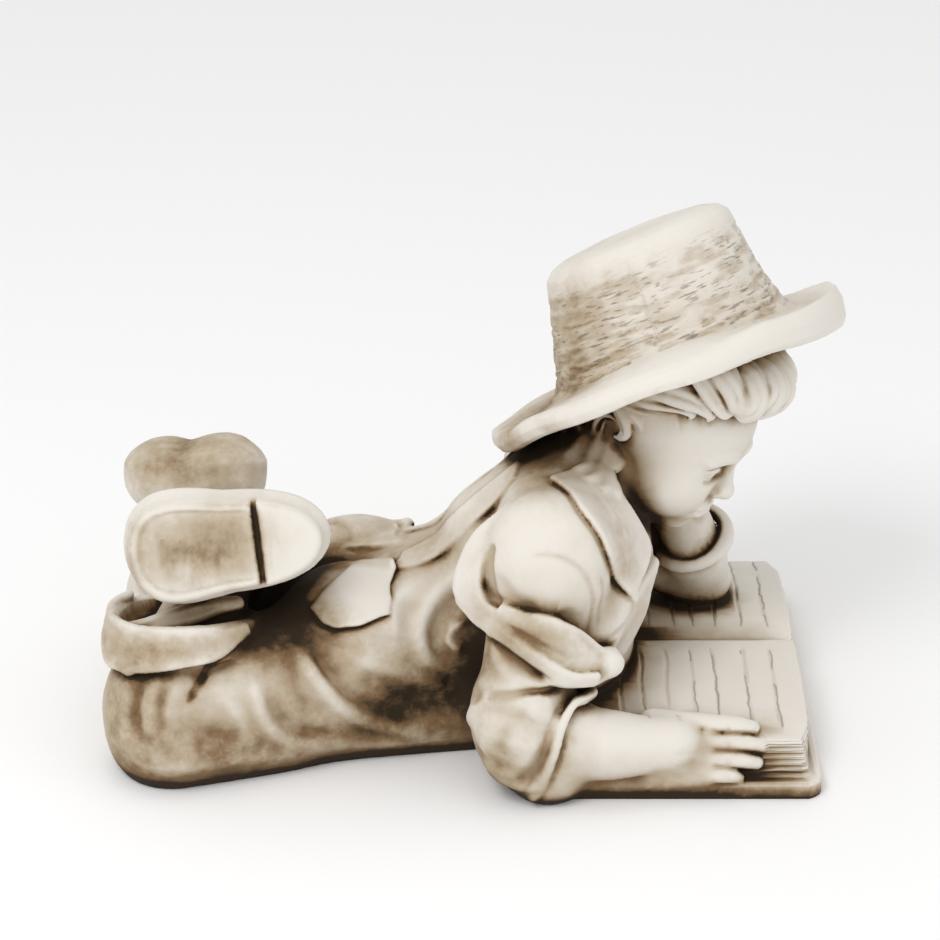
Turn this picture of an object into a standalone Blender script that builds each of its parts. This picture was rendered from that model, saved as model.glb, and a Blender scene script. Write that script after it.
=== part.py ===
# Garden statue of a boy who lies on his front and reads an open book, cast in one piece.
# X runs from the raised feet towards the open book, Y away from the side with the flat forearm, Z up.
# The origin is on the ground under the middle of the casting.
from math import cos, exp, pi, radians, sin

import bmesh
import bpy
from mathutils import Euler, Matrix, Vector

statue_length = 0.60  # turned-up trouser leg to the front of the hat brim
cover_thickness = 0.015  # book cover, lying on the ground
cover_length = 0.222  # along the spine
cover_width = 0.330  # both boards, across the spine
cover_corner = 0.014  # radius of the cover's corners
page_margin = 0.009  # cover showing round the pages
page_corner = 0.008  # radius of the pages' corners
page_height = 0.036  # top of the page block above the cover
spine_valley = 0.011  # depth of the fold between the two pages
page_slope = 0.010  # run of the page block's sloping side
book_front = 0.280  # front edge of the cover, from the figure's origin
book_middle = 0.016  # the spine lies this far to the boy's left
floor_depth = 0.05  # height of the cutter that trims the casting flat
clay_grain = 0.0034  # voxel of the modelled figure
corner_steps = 4  # facets of a rounded corner

unit = statue_length / 600  # the pose below is given in six-hundredths of the length
near_edge = (book_middle - cover_width / 2) / unit  # cover's edge under the flat forearm
page_top = (cover_thickness + page_height) / unit  # what the far elbow and the hand rest on

head_turn = Euler((radians(-6), radians(27), radians(-27))).to_matrix()  # bent over the book, towards the near page
head_middle = (160, 20, 254)  # between the ears, level with the eyes
hat_turn = Euler((radians(-19), radians(-24), 0)).to_matrix()  # pushed back, and towards the left
hat_middle = (167, 36, 302)


def place(x, y, z):
    return Vector((x, y, z)) * unit


def on_head(forward, left, up):
    # A point in the head's own directions, as a place in the pose.
    return Vector(head_middle) + head_turn @ Vector((forward, left, up))


def add_ball(clay, centre, radii, turn=(0, 0, 0), detail=3):
    # An ellipsoid; turn is in degrees about X, Y and Z.
    rotation = Euler([radians(angle) for angle in turn]).to_matrix()
    add_turned_ball(clay, centre, radii, rotation, detail)


def add_turned_ball(clay, centre, radii, rotation, detail=3):
    size = Matrix.Diagonal((*[radius * unit for radius in radii], 1))
    matrix = Matrix.Translation(place(*centre)) @ rotation.to_4x4() @ size
    bmesh.ops.create_icosphere(clay, subdivisions=detail, radius=1, matrix=matrix)


def sphere_points(detail):
    ball = bmesh.new()
    bmesh.ops.create_icosphere(ball, subdivisions=detail, radius=1)
    points = [vertex.co.copy() for vertex in ball.verts]
    ball.free()
    return points


def add_hull(clay, stations, detail=2):
    # One convex skin round spheres at stations of x, y, z and radius.
    template = sphere_points(detail)
    piece = bmesh.new()
    for x, y, z, radius in stations:
        for point in template:
            piece.verts.new(place(x, y, z) + point * radius * unit)
    hull = bmesh.ops.convex_hull(piece, input=piece.verts)
    inside = {v for v in hull["geom_interior"] + hull["geom_unused"] if isinstance(v, bmesh.types.BMVert)}
    bmesh.ops.delete(piece, geom=list(inside), context="VERTS")
    mesh = bpy.data.meshes.new("hull")
    piece.to_mesh(mesh)
    piece.free()
    clay.from_mesh(mesh)
    bpy.data.meshes.remove(mesh)


def add_limb(clay, stations, detail=2):
    # A tapered round limb: one hull round each pair of spheres.
    for pair in zip(stations, stations[1:]):
        add_hull(clay, pair, detail)


def add_hoop(clay, centre, axis, radius, thickness):
    # A rolled cuff: a ring of the given thickness round an axis.
    axis = Vector(axis).normalized()
    across = axis.cross(Vector((0, 1, 0))).normalized()
    along = axis.cross(across)
    stations = []
    for step in range(17):
        angle = 2 * pi * step / 16
        spot = Vector(centre) + (across * cos(angle) + along * sin(angle)) * radius
        stations.append((*spot, thickness))
    add_limb(clay, stations)


def add_rings(clay, rings):
    # A closed skin through rings of points, each with as many points as the next.
    loops = [[clay.verts.new(point) for point in ring] for ring in rings]
    for near, far in zip(loops, loops[1:]):
        for i in range(len(near)):
            j = (i + 1) % len(near)
            clay.faces.new((near[i], near[j], far[j], far[i]))
    clay.faces.new(loops[0][::-1])
    clay.faces.new(loops[-1])


def add_trousers(clay):
    for side in (-1, 1):
        add_ball(clay, (-94, side * 42, 88), (66, 54, 56), (0, 8, side * 12))
        add_limb(clay, [(-90, side * 44, 66, 60), (-160, side * 64, 58, 58), (-236, side * 84, 54, 57)], 3)
        ground = [(-238, 90, 34, 56), (-170, 66, 32, 58), (-110, 44, 30, 58), (10, 26, 28, 56)]
        add_limb(clay, [(x, side * y, z, radius) for x, y, z, radius in ground], 3)
        add_limb(clay, [(-236, side * 84, 54, 55), (-236, side * 64, 62, 50)], 3)
    add_limb(clay, [(-90, 0, 66, 66), (-10, 0, 74, 72)], 3)
    add_ball(clay, (-40, 0, 80), (80, 84, 70), (0, -14, 0))


def add_turn_up(clay, side):
    # The rolled hem of one trouser leg: a short sleeve with a hollow top.
    centre = place(-224 + side * 7, side * 62, 104)
    axis = Vector((0.05, -side * 0.30, 1)).normalized()
    across = axis.cross(Vector((0, 1, 0))).normalized()
    along = axis.cross(across)
    rings = []
    for height, radius in ((-20, 50), (-20, 60), (-16, 63), (12, 61), (16, 57), (14, 49), (2, 45)):
        ring = []
        for step in range(40):
            angle = 2 * pi * step / 40
            spread = radius * (1 + 0.02 * sin(3 * angle))
            ring.append(centre + (axis * height + (across * cos(angle) + along * sin(angle)) * spread) * unit)
        rings.append(ring)
    add_rings(clay, rings)


def add_shins(clay):
    # The lower legs cross on their way to the shoes.
    add_limb(clay, [(-232, -64, 84, 34), (-206, -8, 128, 30), (-204, 44, 168, 27)])
    add_limb(clay, [(-232, 64, 84, 34), (-186, 14, 132, 30), (-150, -52, 184, 26)])


def add_shoe(clay, heel, toe, sole_normal, heel_width, toe_width, depth, blunt, upper):
    # A shoe built up from its sole outline, widest at the toe, with a heel block behind.
    # The upper is pairs of depth behind the sole and growth of the outline.
    heel, toe = place(*heel), place(*toe)
    normal = Vector(sole_normal).normalized()
    along = (toe - heel).normalized()
    normal = (normal - along * normal.dot(along)).normalized()
    across = normal.cross(along)
    length = (toe - heel).length

    def outline(back, grow, first, last):
        ring = []
        for step in range(49):
            angle = radians(first + (last - first) * step / 49)
            end = abs(cos(angle)) ** blunt
            lean = end if cos(angle) > 0 else -end
            half = (heel_width + toe_width) / 4 + (toe_width - heel_width) / 4 * lean
            waist = 1 - 0.12 * (1 - end)
            reach = lean * (length / 2 + grow * unit)
            spread = sin(angle) * (half + grow) * unit * waist
            ring.append((heel + toe) / 2 + along * reach + across * spread - normal * back * unit)
        return ring

    upper = upper + ((depth * 0.6, 0), (depth * 0.85, -9), (depth, -24))
    add_rings(clay, [outline(back, grow, 0, 360) for back, grow in upper])


def add_shirt(clay):
    add_limb(clay, [(-10, 0, 80, 72), (30, 0, 112, 74), (78, 4, 150, 70)], 3)
    add_ball(clay, (54, 0, 126), (62, 100, 78), (0, -38, 0))
    add_ball(clay, (70, 0, 70), (66, 88, 72))
    add_limb(clay, [(22, 0, 158, 44), (66, 2, 196, 42), (112, 12, 222, 38)], 3)
    add_limb(clay, [(62, -84, 186, 50), (72, 6, 196, 42), (86, 88, 182, 50)], 3)
    chest = ((112, 28, 196, 16), (128, 26, 160, 16), (122, 48, 128, 14), (100, 66, 106, 14), (60, 50, 80, 20))
    add_hull(clay, [(x, side * y, z, radius) for side in (-1, 1) for x, y, z, radius in chest])


def add_near_arm(clay):
    # The arm that lies along the near edge of the book.
    add_ball(clay, (62, -88, 182), (52, 48, 60), (12, 10, 0))
    add_limb(clay, [(58, -88, 156, 42), (46, -112, 98, 38), (46, -128, 54, 40)], 3)
    add_limb(clay, [(92, -88, 168, 20), (94, -92, 142, 20), (94, -100, 118, 17)])
    add_ball(clay, (37, -128, 68), (36, 38, 38))
    add_limb(clay, [(48, -131, 46, 40), (76, near_edge + 15, 48, 33)], 3)
    add_ball(clay, (62, -130, 24), (35, 38, 34))
    add_limb(clay, [(78, near_edge + 15, 14, 17), (188, near_edge + 13, 10, 14)])
    forearm = [
        (60, near_edge + 15, page_top - 5, 30),
        (104, near_edge + 12, page_top - 7, 30),
        (142, near_edge + 11, page_top - 8, 25),
        (160, near_edge + 15, page_top - 8, 22),
    ]
    add_limb(clay, forearm, 3)
    add_ball(clay, (162, near_edge + 17, page_top - 11), (27, 21, 26), (22, 0, 0))
    add_hoop(clay, (76, near_edge + 15, 54), (0.86, 0, -0.5), 32, 7)


def add_near_hand(clay):
    # Four fingers laid over the edges of the pages, from the index finger down.
    for finger in range(4):
        out = near_edge + (27, 18, 10, 4)[finger]
        up = page_top + 1 - 10.5 * finger
        reach = (224, 231, 227, 212)[finger]
        thick = 8.8 - 0.3 * finger
        knuckle = (176, out + 2, up, thick)
        middle = ((176 + reach) / 2, out - 1, up + 1, thick)
        add_limb(clay, [knuckle, middle, (reach, out + 1, up - 3, thick - 2)])


def add_far_arm(clay):
    # The arm that props up the chin, its elbow on the far page.
    add_ball(clay, (80, 88, 176), (52, 46, 60), (-12, 10, 0))
    elbow = (194, 90, page_top + 18)
    add_limb(clay, [(84, 94, 168, 48), (140, 98, 118, 42), (*elbow, 28)], 3)
    add_limb(clay, [(*elbow, 27), (192, 76, 90, 27), (189, 66, 108, 28)], 3)
    add_limb(clay, [(192, 70, 100, 25), (176, 54, 142, 22), (168, 46, 162, 22)])
    add_ball(clay, (166, 46, 168), (22, 24, 22))
    add_hoop(clay, (187, 60, 124), (-0.33, -0.38, 0.86), 29, 7.5)


def add_head(clay):
    def lump(centre, radii):
        add_turned_ball(clay, on_head(*centre), radii, head_turn)

    lump((-4, 0, 18), (70, 59, 66))
    lump((18, 0, -22), (46, 49, 52))
    lump((42, 0, -64), (17, 19, 14))
    for side in (-1, 1):
        lump((33, side * 23, -30), (27, 25, 27))
        lump((-25, side * 50, -13), (13, 8, 19))
        lump((64, side * 7.5, -24), (6.5, 6, 6))
    add_limb(clay, [(*on_head(58, 0, 6), 7), (*on_head(68.5, 0, -19), 8)])
    lump((69, 0, -21), (8.5, 8.5, 8))
    lump((52, 0, -45), (15, 21, 14))


def add_hair(clay):
    # Locks that show between the hat and the face, one chain to each lock.
    add_turned_ball(clay, on_head(-14, 0, 30), (70, 62, 66), head_turn)
    add_turned_ball(clay, on_head(24, 0, 70), (38, 45, 26), head_turn)
    add_limb(clay, [(*on_head(-40, 0, -4), 50), (*on_head(-52, 0, -36), 38)], 3)
    locks = (
        ((24, 8, 92, 12), (50, 10, 92, 13), (68, 12, 84, 11), (66, 16, 67, 7)),
        ((22, 28, 90, 12), (46, 30, 90, 12), (60, 32, 80, 10), (58, 34, 64, 6)),
        ((8, 42, 90, 10), (30, 48, 80, 12), (46, 44, 66, 8)),
        ((-20, 60, 46, 10), (8, 58, 56, 11), (32, 52, 58, 9)),
        ((-36, 58, 28, 9), (-14, 60, 34, 10), (14, 56, 46, 8)),
        ((-38, 57, 18, 8), (-18, 58, 10, 8), (-12, 56, -6, 5)),
        ((-46, 54, 14, 9), (-56, 53, -8, 9), (-48, 50, -28, 6)),
        ((-60, 44, 8, 13), (-66, 46, -18, 12), (-56, 46, -42, 7)),
        ((-72, 14, 12, 14), (-84, 14, -12, 12), (-78, 14, -42, 8)),
    )
    for side in (-1, 1):
        for lock in locks:
            add_limb(clay, [(*on_head(ahead, side * out, up), radius) for ahead, out, up, radius in lock])


def add_collar(clay):
    # The turned-down collar: a flat flap on each side, ending in a point on the chest.
    outer = ((80, 60, 229), (90, 88, 220), (101, 100, 204), (110, 101, 180), (118, 95, 156), (127, 82, 138))
    inner = ((102, 26, 227), (120, 27, 212), (135, 30, 192), (144, 37, 169), (138, 56, 148))
    for side in (-1, 1):
        for outside, inside in ((outer[0:2], inner[0:1]), (outer[1:4], inner[0:3]), (outer[3:6], inner[2:5])):
            add_hull(clay, [(x, side * y, z, 6) for x, y, z in outside + inside])


def add_folds(clay):
    # Ridges of cloth that stand out from the figure, as stations of x, y, z and radius.
    sleeves = (
        # the loose edge behind the shoulder, which rolls over and crosses the sleeve
        ((24, -78, 210, 7), (8, -86, 200, 10), (-2, -92, 182, 11), (2, -108, 164, 11), (18, -126, 152, 12)),
        ((18, -124, 150, 12), (48, -142, 140, 13), (78, -144, 124, 13), (98, -134, 112, 11), (112, -118, 110, 9)),
        ((24, -122, 134, 9), (50, -140, 124, 11), (80, -140, 110, 11)),
        # across the lower sleeve
        ((4, -124, 122, 8), (18, -142, 114, 10), (44, -152, 108, 10), (74, -150, 104, 8)),
        ((2, -132, 78, 9), (26, -152, 90, 10), (66, -154, 94, 8)),
        ((6, -144, 60, 9), (26, -163, 46, 11), (50, -164, 26, 9)),
        ((24, -150, 16, 12), (52, -158, 14, 10), (64, -148, 26, 8)),
        # round the armpit
        ((2, -76, 164, 7), (-20, -78, 150, 9), (-30, -82, 128, 9), (-24, -90, 104, 9), (-6, -94, 90, 7)),
        ((8, -90, 114, 6), (-4, -92, 102, 7), (-18, -88, 108, 6)),
    )
    legs = (
        # from the seat down to the belly, and across the thigh
        ((-140, 86, 104, 9), (-112, 106, 82, 11), (-82, 108, 54, 11), (-50, 98, 30, 9)),
        ((-178, 108, 80, 8), (-164, 118, 55, 9), (-144, 116, 35, 9), (-112, 108, 30, 8)),
        ((-60, 90, 92, 9), (-40, 98, 70, 9), (-14, 96, 58, 8), (20, 84, 50, 7)),
        ((-204, 112, 96, 8), (-206, 122, 70, 9), (-198, 124, 48, 8)),
        ((-262, 110, 36, 9), (-250, 122, 24, 10), (-200, 116, 18, 10), (-130, 96, 14, 9)),
        ((-276, 108, 70, 8), (-268, 118, 48, 9), (-258, 120, 30, 8)),
    )
    for fold in sleeves:
        add_limb(clay, fold)
    for side in (-1, 1):
        for fold in legs:
            add_limb(clay, [(x, side * y, z, radius) for x, y, z, radius in fold])


def add_pockets(clay):
    # Patch pockets on the seat, standing proud at their lower edges.
    patch = ((-128, 64, 121), (-108, 38, 139), (-86, 22, 139), (-58, 26, 139), (-62, 76, 123), (-104, 86, 117))
    for side in (-1, 1):
        add_hull(clay, [(x, side * y, z, 9) for x, y, z in patch])


def add_straps(clay):
    # Dungaree straps over the back.
    for side in (-1, 1):
        add_limb(clay, [(-44, side * 40, 126, 14), (0, side * 32, 154, 14), (40, side * 32, 190, 12)])


def add_hat(clay):
    # Rings round the hat's own axis, which leans back and to the boy's left.
    # Each pair is a height on the axis and the radius there.
    profile = (
        (-10, 92), (-20, 134), (-23, 147), (-16, 155), (-8, 153), (-4, 140), (3, 106), (12, 99), (30, 94),
        (48, 90), (84, 80), (94, 77), (103, 63), (107, 30),
    )
    rings = []
    for height, radius in profile:
        brim = max(0.0, (radius - 108) / 49)
        shift = -3 - 6 * min(1.0, 1.4 * brim) if height < 6 else -3 + 7 * (height - 6) / 98
        narrow = 1.1 + 0.07 * brim
        ring = []
        for step in range(56):
            angle = 2 * pi * step / 56
            side = sin(angle) ** 2
            front = max(0.0, cos(angle))
            lift = brim**2 * (9 * cos(angle) ** 2 - side + 2 * sin(5 * angle))
            lift += brim**3 * 11 * front**4
            lift += 0.8 * front * min(0.0, height + 8) * min(1.0, max(0.0, (radius - 96) / 30))
            level = height if height > 70 else min(height + 16 * side, (height + 22.4 * side) / (1 + 0.32 * side))
            dent = 9 * front**2 * exp(-(((level - 52) / 30) ** 2)) + 5 * brim * front**2
            local = Vector((cos(angle) * (radius - dent) + shift, sin(angle) * (radius - dent) / narrow, level + lift))
            ring.append((Vector(hat_middle) + hat_turn @ local) * unit)
        rings.append(ring)
    add_rings(clay, rings)


def model_figure():
    clay = bmesh.new()
    add_trousers(clay)
    for side in (-1, 1):
        add_turn_up(clay, side)
    add_shins(clay)
    welted = ((-4, -10), (-2, -5), (3, -1), (8, 2), (16, 3))
    add_shoe(clay, (-112, -104, 213), (-268, -104, 195), (0.1, -1, 0.28), 66, 108, 54, 0.62, welted)
    rounded = ((-3, -26), (0, -14), (5, -7), (12, -2), (20, 0))
    add_shoe(clay, (-170, 52, 217), (-284, 82, 203), (0, 0.4, 1), 78, 86, 62, 0.75, rounded)
    add_shirt(clay)
    add_near_arm(clay)
    add_near_hand(clay)
    add_far_arm(clay)
    add_head(clay)
    add_hair(clay)
    add_collar(clay)
    add_folds(clay)
    add_pockets(clay)
    add_straps(clay)
    add_hat(clay)
    bmesh.ops.recalc_face_normals(clay, faces=clay.faces)
    mesh = bpy.data.meshes.new("clay")
    clay.to_mesh(mesh)
    clay.free()
    return mesh


def page_profile(inset):
    # Cross-section of the open book over one width: two swelling pages with a valley between them.
    half = cover_width / 2 - page_margin - inset
    base = cover_thickness
    top = base + page_height
    points = [(-half, base * 0.5), (-half, base)]
    steps = 24
    for step in range(steps + 1):
        share = -1 + 2 * step / steps
        y = share * (half - page_slope)
        distance = abs(share)
        swell = sin(pi * min(1.0, distance**0.45)) * 0.10 * page_height
        gutter = 0.09 if share < 0 else 0.22
        drop = spine_valley * (1 - min(1.0, distance / gutter)) ** 2 + 0.18 * page_height * distance**3
        points.append((y, top - drop + swell))
    points += [(half, base), (half, base * 0.5)]
    return points


def make_book():
    book = bmesh.new()
    left = book_front - cover_length
    cover = bmesh.ops.create_cube(book, size=1)["verts"]
    bmesh.ops.scale(book, vec=(cover_length, cover_width, cover_thickness + floor_depth / 2), verts=cover)
    lift = (cover_thickness - floor_depth / 2) / 2
    bmesh.ops.translate(book, vec=(left + cover_length / 2, book_middle, lift), verts=cover)
    upright = [edge for edge in book.edges if abs(edge.verts[0].co.z - edge.verts[1].co.z) > cover_thickness]
    bmesh.ops.bevel(book, geom=upright, offset=cover_corner, segments=corner_steps, affect="EDGES", profile=0.5)
    pages = bmesh.new()
    rings = []
    middle = left + cover_length / 2
    for end in (-1, 1):
        turns = range(corner_steps + 1) if end < 0 else range(corner_steps, -1, -1)
        for turn in turns:
            angle = pi / 2 * turn / corner_steps
            x = middle + end * (cover_length / 2 - page_margin - page_corner * (1 - cos(angle)))
            inset = page_corner * (1 - sin(angle))
            rings.append([Vector((x, book_middle + y, z)) for y, z in page_profile(inset)])
    add_rings(pages, rings)
    bmesh.ops.recalc_face_normals(pages, faces=pages.faces)
    return mesh_object("book_cover", book), mesh_object("book_pages", pages)


def mesh_object(name, source):
    mesh = bpy.data.meshes.new(name)
    source.to_mesh(mesh)
    source.free()
    made = bpy.data.objects.new(name, mesh)
    bpy.context.collection.objects.link(made)
    made.hide_render = True
    made.display_type = "WIRE"
    return made


def make_floor():
    floor = bmesh.new()
    side = statue_length * 2
    bmesh.ops.create_cube(floor, size=1)
    bmesh.ops.scale(floor, vec=(side, side, floor_depth), verts=floor.verts)
    bmesh.ops.translate(floor, vec=(0, 0, -floor_depth / 2), verts=floor.verts)
    return mesh_object("floor_cutter", floor)


def stone():
    material = bpy.data.materials.new("cast_stone")
    material.use_nodes = True
    shader = material.node_tree.nodes["Principled BSDF"]
    shader.inputs["Base Color"].default_value = (0.55, 0.48, 0.39, 1)
    shader.inputs["Roughness"].default_value = 0.8
    shader.inputs["Metallic"].default_value = 0.0
    return material


def boolean(owner, name, other, operation):
    modifier = owner.modifiers.new(name, "BOOLEAN")
    modifier.object = other
    modifier.operation = operation
    modifier.solver = "EXACT"


def build():
    for old in list(bpy.data.objects):
        bpy.data.objects.remove(old)
    figure = bpy.data.objects.new("reading_boy_statue", model_figure())
    bpy.context.collection.objects.link(figure)
    figure.data.materials.append(stone())

    fuse = figure.modifiers.new("fuse the clay", "REMESH")
    fuse.mode = "VOXEL"
    fuse.voxel_size = clay_grain
    fuse.use_smooth_shade = True
    soften = figure.modifiers.new("soften", "SMOOTH")
    soften.factor = 0.5
    soften.iterations = 1
    reduce = figure.modifiers.new("reduce", "DECIMATE")
    reduce.ratio = 0.0455

    cover, pages = make_book()
    boolean(figure, "join the cover", cover, "UNION")
    boolean(figure, "join the pages", pages, "UNION")
    boolean(figure, "trim flat", make_floor(), "DIFFERENCE")


build()
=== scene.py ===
import math
import time

import bpy
import numpy as np
from mathutils import Euler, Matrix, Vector


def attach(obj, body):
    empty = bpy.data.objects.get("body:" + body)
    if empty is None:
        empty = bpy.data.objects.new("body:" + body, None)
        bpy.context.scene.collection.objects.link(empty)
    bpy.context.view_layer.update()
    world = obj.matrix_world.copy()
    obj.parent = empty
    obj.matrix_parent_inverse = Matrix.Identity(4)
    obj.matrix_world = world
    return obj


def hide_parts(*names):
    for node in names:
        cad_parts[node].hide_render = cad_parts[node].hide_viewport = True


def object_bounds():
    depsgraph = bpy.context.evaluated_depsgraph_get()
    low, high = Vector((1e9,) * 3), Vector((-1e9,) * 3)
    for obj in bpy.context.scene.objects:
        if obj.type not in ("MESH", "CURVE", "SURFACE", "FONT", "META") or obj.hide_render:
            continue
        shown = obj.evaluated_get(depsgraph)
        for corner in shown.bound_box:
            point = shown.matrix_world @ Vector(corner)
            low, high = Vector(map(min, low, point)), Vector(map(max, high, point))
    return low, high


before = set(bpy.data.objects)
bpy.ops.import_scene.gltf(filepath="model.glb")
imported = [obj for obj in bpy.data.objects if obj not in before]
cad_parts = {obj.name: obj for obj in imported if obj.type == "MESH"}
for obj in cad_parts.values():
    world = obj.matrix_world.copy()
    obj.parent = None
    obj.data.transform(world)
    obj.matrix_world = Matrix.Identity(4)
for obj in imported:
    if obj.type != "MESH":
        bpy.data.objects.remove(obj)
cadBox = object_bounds()
startTime = time.time()

poseLength = 593.4  # the pose below is given in millimetres of a casting this long
metre = (cadBox[1][0] - cadBox[0][0]) / poseLength  # one pose millimetre, in metres
farAway = 40.0  # the field's value where nothing has been built


def report(stage):
    print(f"{stage}: {time.time() - startTime:.1f} s")


# Clay: a field that is negative inside the stone, changed by one stroke after another

claySettings = {
    "fineStep": 1.15,  # grid step at the head, in mm
    "plainStep": 1.9,  # grid step elsewhere
    "quickFactor": 1.7,  # coarser still while trying things
    "headRegion": ((92, -74, 8), (252, 104, 346)),
    "region": ((-306, -184, -8), (312, 190, 436)),
    "triangles": 192000,
}
strokes = []


def addStroke(low, high, change):
    strokes.append((np.array(low, float), np.array(high, float), change))


def turnMatrix(turn):
    return np.array(Euler([math.radians(angle) for angle in turn]).to_matrix())


def axisFrame(axis):
    # The axis at unit length, and two directions square to it and to each other.
    axis = Vector(axis).normalized()
    across = axis.cross(Vector((0, 1, 0))).normalized()
    return axis, across, axis.cross(across)


def softMin(a, b, blend):
    if blend <= 0:
        return np.minimum(a, b)
    near = np.maximum(blend - np.abs(a - b), 0) / blend
    return np.minimum(a, b) - near * near * (blend * 0.25)


def softMax(a, b, blend):
    return -softMin(-a, -b, blend)


def join(field, shape, blend, cut):
    return softMax(field, -shape, blend) if cut else softMin(field, shape, blend)


def toLocal(x, y, z, centre, matrix):
    dx, dy, dz = x - centre[0], y - centre[1], z - centre[2]
    return [matrix[0][i] * dx + matrix[1][i] * dy + matrix[2][i] * dz for i in range(3)]


def ball(centre, radii, turn=(0, 0, 0), blend=6, cut=False, matrix=None):
    # An ellipsoid of clay, or one scooped out of it.
    rotation = turnMatrix(turn) if matrix is None else matrix
    radii = np.array(radii, float)
    reach = np.sqrt(((rotation * radii) ** 2).sum(axis=1)) + blend + 4

    def change(field, x, y, z):
        u, v, w = toLocal(x, y, z, centre, rotation)
        k0 = np.sqrt((u / radii[0]) ** 2 + (v / radii[1]) ** 2 + (w / radii[2]) ** 2)
        k1 = np.sqrt((u / radii[0] ** 2) ** 2 + (v / radii[1] ** 2) ** 2 + (w / radii[2] ** 2) ** 2)
        return join(field, k0 * (k0 - 1) / (k1 + 1e-6), blend, cut)

    addStroke(np.array(centre) - reach, np.array(centre) + reach, change)


def smoothPath(stations, steps=6):
    # Extra stations on a smooth curve through the given ones.
    points = np.array(stations, float)
    padded = np.vstack([2 * points[0] - points[1], points, 2 * points[-1] - points[-2]])
    path = []
    for i in range(len(points) - 1):
        a, b, c, d = padded[i:i + 4]
        for t in np.arange(steps) / steps:
            bend = (2 * a - 5 * b + 4 * c - d) * t**2
            path.append(0.5 * (2 * b + (c - a) * t + bend + (3 * b - a - 3 * c + d) * t**3))
    path.append(points[-1])
    return np.array(path)


def pathDistance(x, y, z, stations):
    # Distance to a chain of tapered round links.
    best = None
    for a, b in zip(stations[:-1], stations[1:]):
        link = b[:3] - a[:3]
        length2 = max(float(link @ link), 1e-6)
        px, py, pz = x - a[0], y - a[1], z - a[2]
        t = np.clip((px * link[0] + py * link[1] + pz * link[2]) / length2, 0, 1)
        gap = np.sqrt((px - t * link[0]) ** 2 + (py - t * link[1]) ** 2 + (pz - t * link[2]) ** 2)
        gap = gap - (a[3] + t * (b[3] - a[3]))
        best = gap if best is None else np.minimum(best, gap)
    return best


def limb(stations, blend=6, cut=False, curved=True):
    # A tapered round limb, fold or groove through stations of x, y, z and radius.
    path = smoothPath(stations) if curved and len(stations) > 2 else np.array(stations, float)
    reach = path[:, 3].max() + blend + 4

    def change(field, x, y, z):
        return join(field, pathDistance(x, y, z, path), blend, cut)

    addStroke(path[:, :3].min(axis=0) - reach, path[:, :3].max(axis=0) + reach, change)


def groove(path, depth, width):
    # A line pressed into the surface, or raised where depth is negative, thinning out at both ends.
    path = path.copy()
    share = np.linspace(0, 1, len(path))
    thinning = np.clip(1 - share / 0.16, 0, 1) + np.clip((share - 0.84) / 0.16, 0, 1)
    path[:, 3] = -1.2 * width * thinning**1.5
    reach = width * 2.4 + 2

    def change(field, x, y, z):
        gap = pathDistance(x, y, z, path)
        return field + depth * np.exp(-(gap / width) ** 2)

    addStroke(path[:, :3].min(axis=0) - reach, path[:, :3].max(axis=0) + reach, change)


def pressLines(lines, steps=3):
    # Lines of depth, width and stations, laid onto the surface as it stands.
    paths = [smoothPath([(*s, 0) for s in stations], steps) for depth, width, stations in lines]
    spots = settle(np.vstack(paths)[:, :3], 3, 5.0)
    start = 0
    for path, (depth, width, stations) in zip(paths, lines):
        path[:, :3] = spots[start:start + len(path)]
        start += len(path)
        groove(path, depth, width)


def bothSides(lines, shift=0.0):
    # The lines, and the same ones on the other side of y = shift / 2.
    return lines + [(d, w, [(x, shift - y, z) for x, y, z in stations]) for d, w, stations in lines]


def resample(stations, count):
    path = smoothPath(np.array(stations, float), 8)
    share, places = np.linspace(0, len(path) - 1, count), np.arange(len(path))
    return np.stack([np.interp(share, places, column) for column in path.T], axis=1)


def sheet(edgeA, edgeB, radius, blend=2.0):
    # A flap of cloth between two edges.
    a, b = resample(edgeA, 60), resample(edgeB, 60)
    span = max(np.linalg.norm(np.diff(edge, axis=0), axis=1).sum() for edge in (a, b))
    count = int(np.clip(span / (0.55 * radius), 8, 60))
    a, b = resample(edgeA, count), resample(edgeB, count)
    reach = radius + blend + 4
    both = np.vstack([a, b])

    def change(field, x, y, z):
        best = None
        for p, q in zip(a, b):
            link = q - p
            px, py, pz = x - p[0], y - p[1], z - p[2]
            t = np.clip((px * link[0] + py * link[1] + pz * link[2]) / max(float(link @ link), 1e-6), 0, 1)
            square = (px - t * link[0]) ** 2 + (py - t * link[1]) ** 2 + (pz - t * link[2]) ** 2
            gap = np.sqrt(square) - radius
            best = gap if best is None else np.minimum(best, gap)
        return softMin(field, best, blend)

    addStroke(both.min(axis=0) - reach, both.max(axis=0) + reach, change)


viewUp = (0.0, 0.454, 0.891)  # square to the camera's line of sight


def layer(points, thick, deep, right=(1, 0, 0), up=viewUp, line=2.4):
    # A patch of cloth laid on the surface inside an outline, as seen square to right and up.
    spots = np.array(points, float)
    heights = spots @ np.array(up)
    middle, half = heights.mean(), np.ptp(heights) / 2
    table = outlineTable(np.stack([spots @ np.array(right), heights], axis=1))

    def change(field, x, y, z):
        v = x * up[0] + y * up[1] + z * up[2]
        flat = readTable(table, x * right[0] + y * right[1] + z * right[2], v)
        raised = softMax(field - thick, flat, 2.0)
        low = np.clip((middle - v) / half, -0.8, 1) * 0.5 + 0.5
        return softMin(field + line * low * np.exp(-((flat - 1.2) / 1.6) ** 2), raised, 0.6)

    addStroke(spots.min(axis=0) - deep, spots.max(axis=0) + deep, change)


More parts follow.
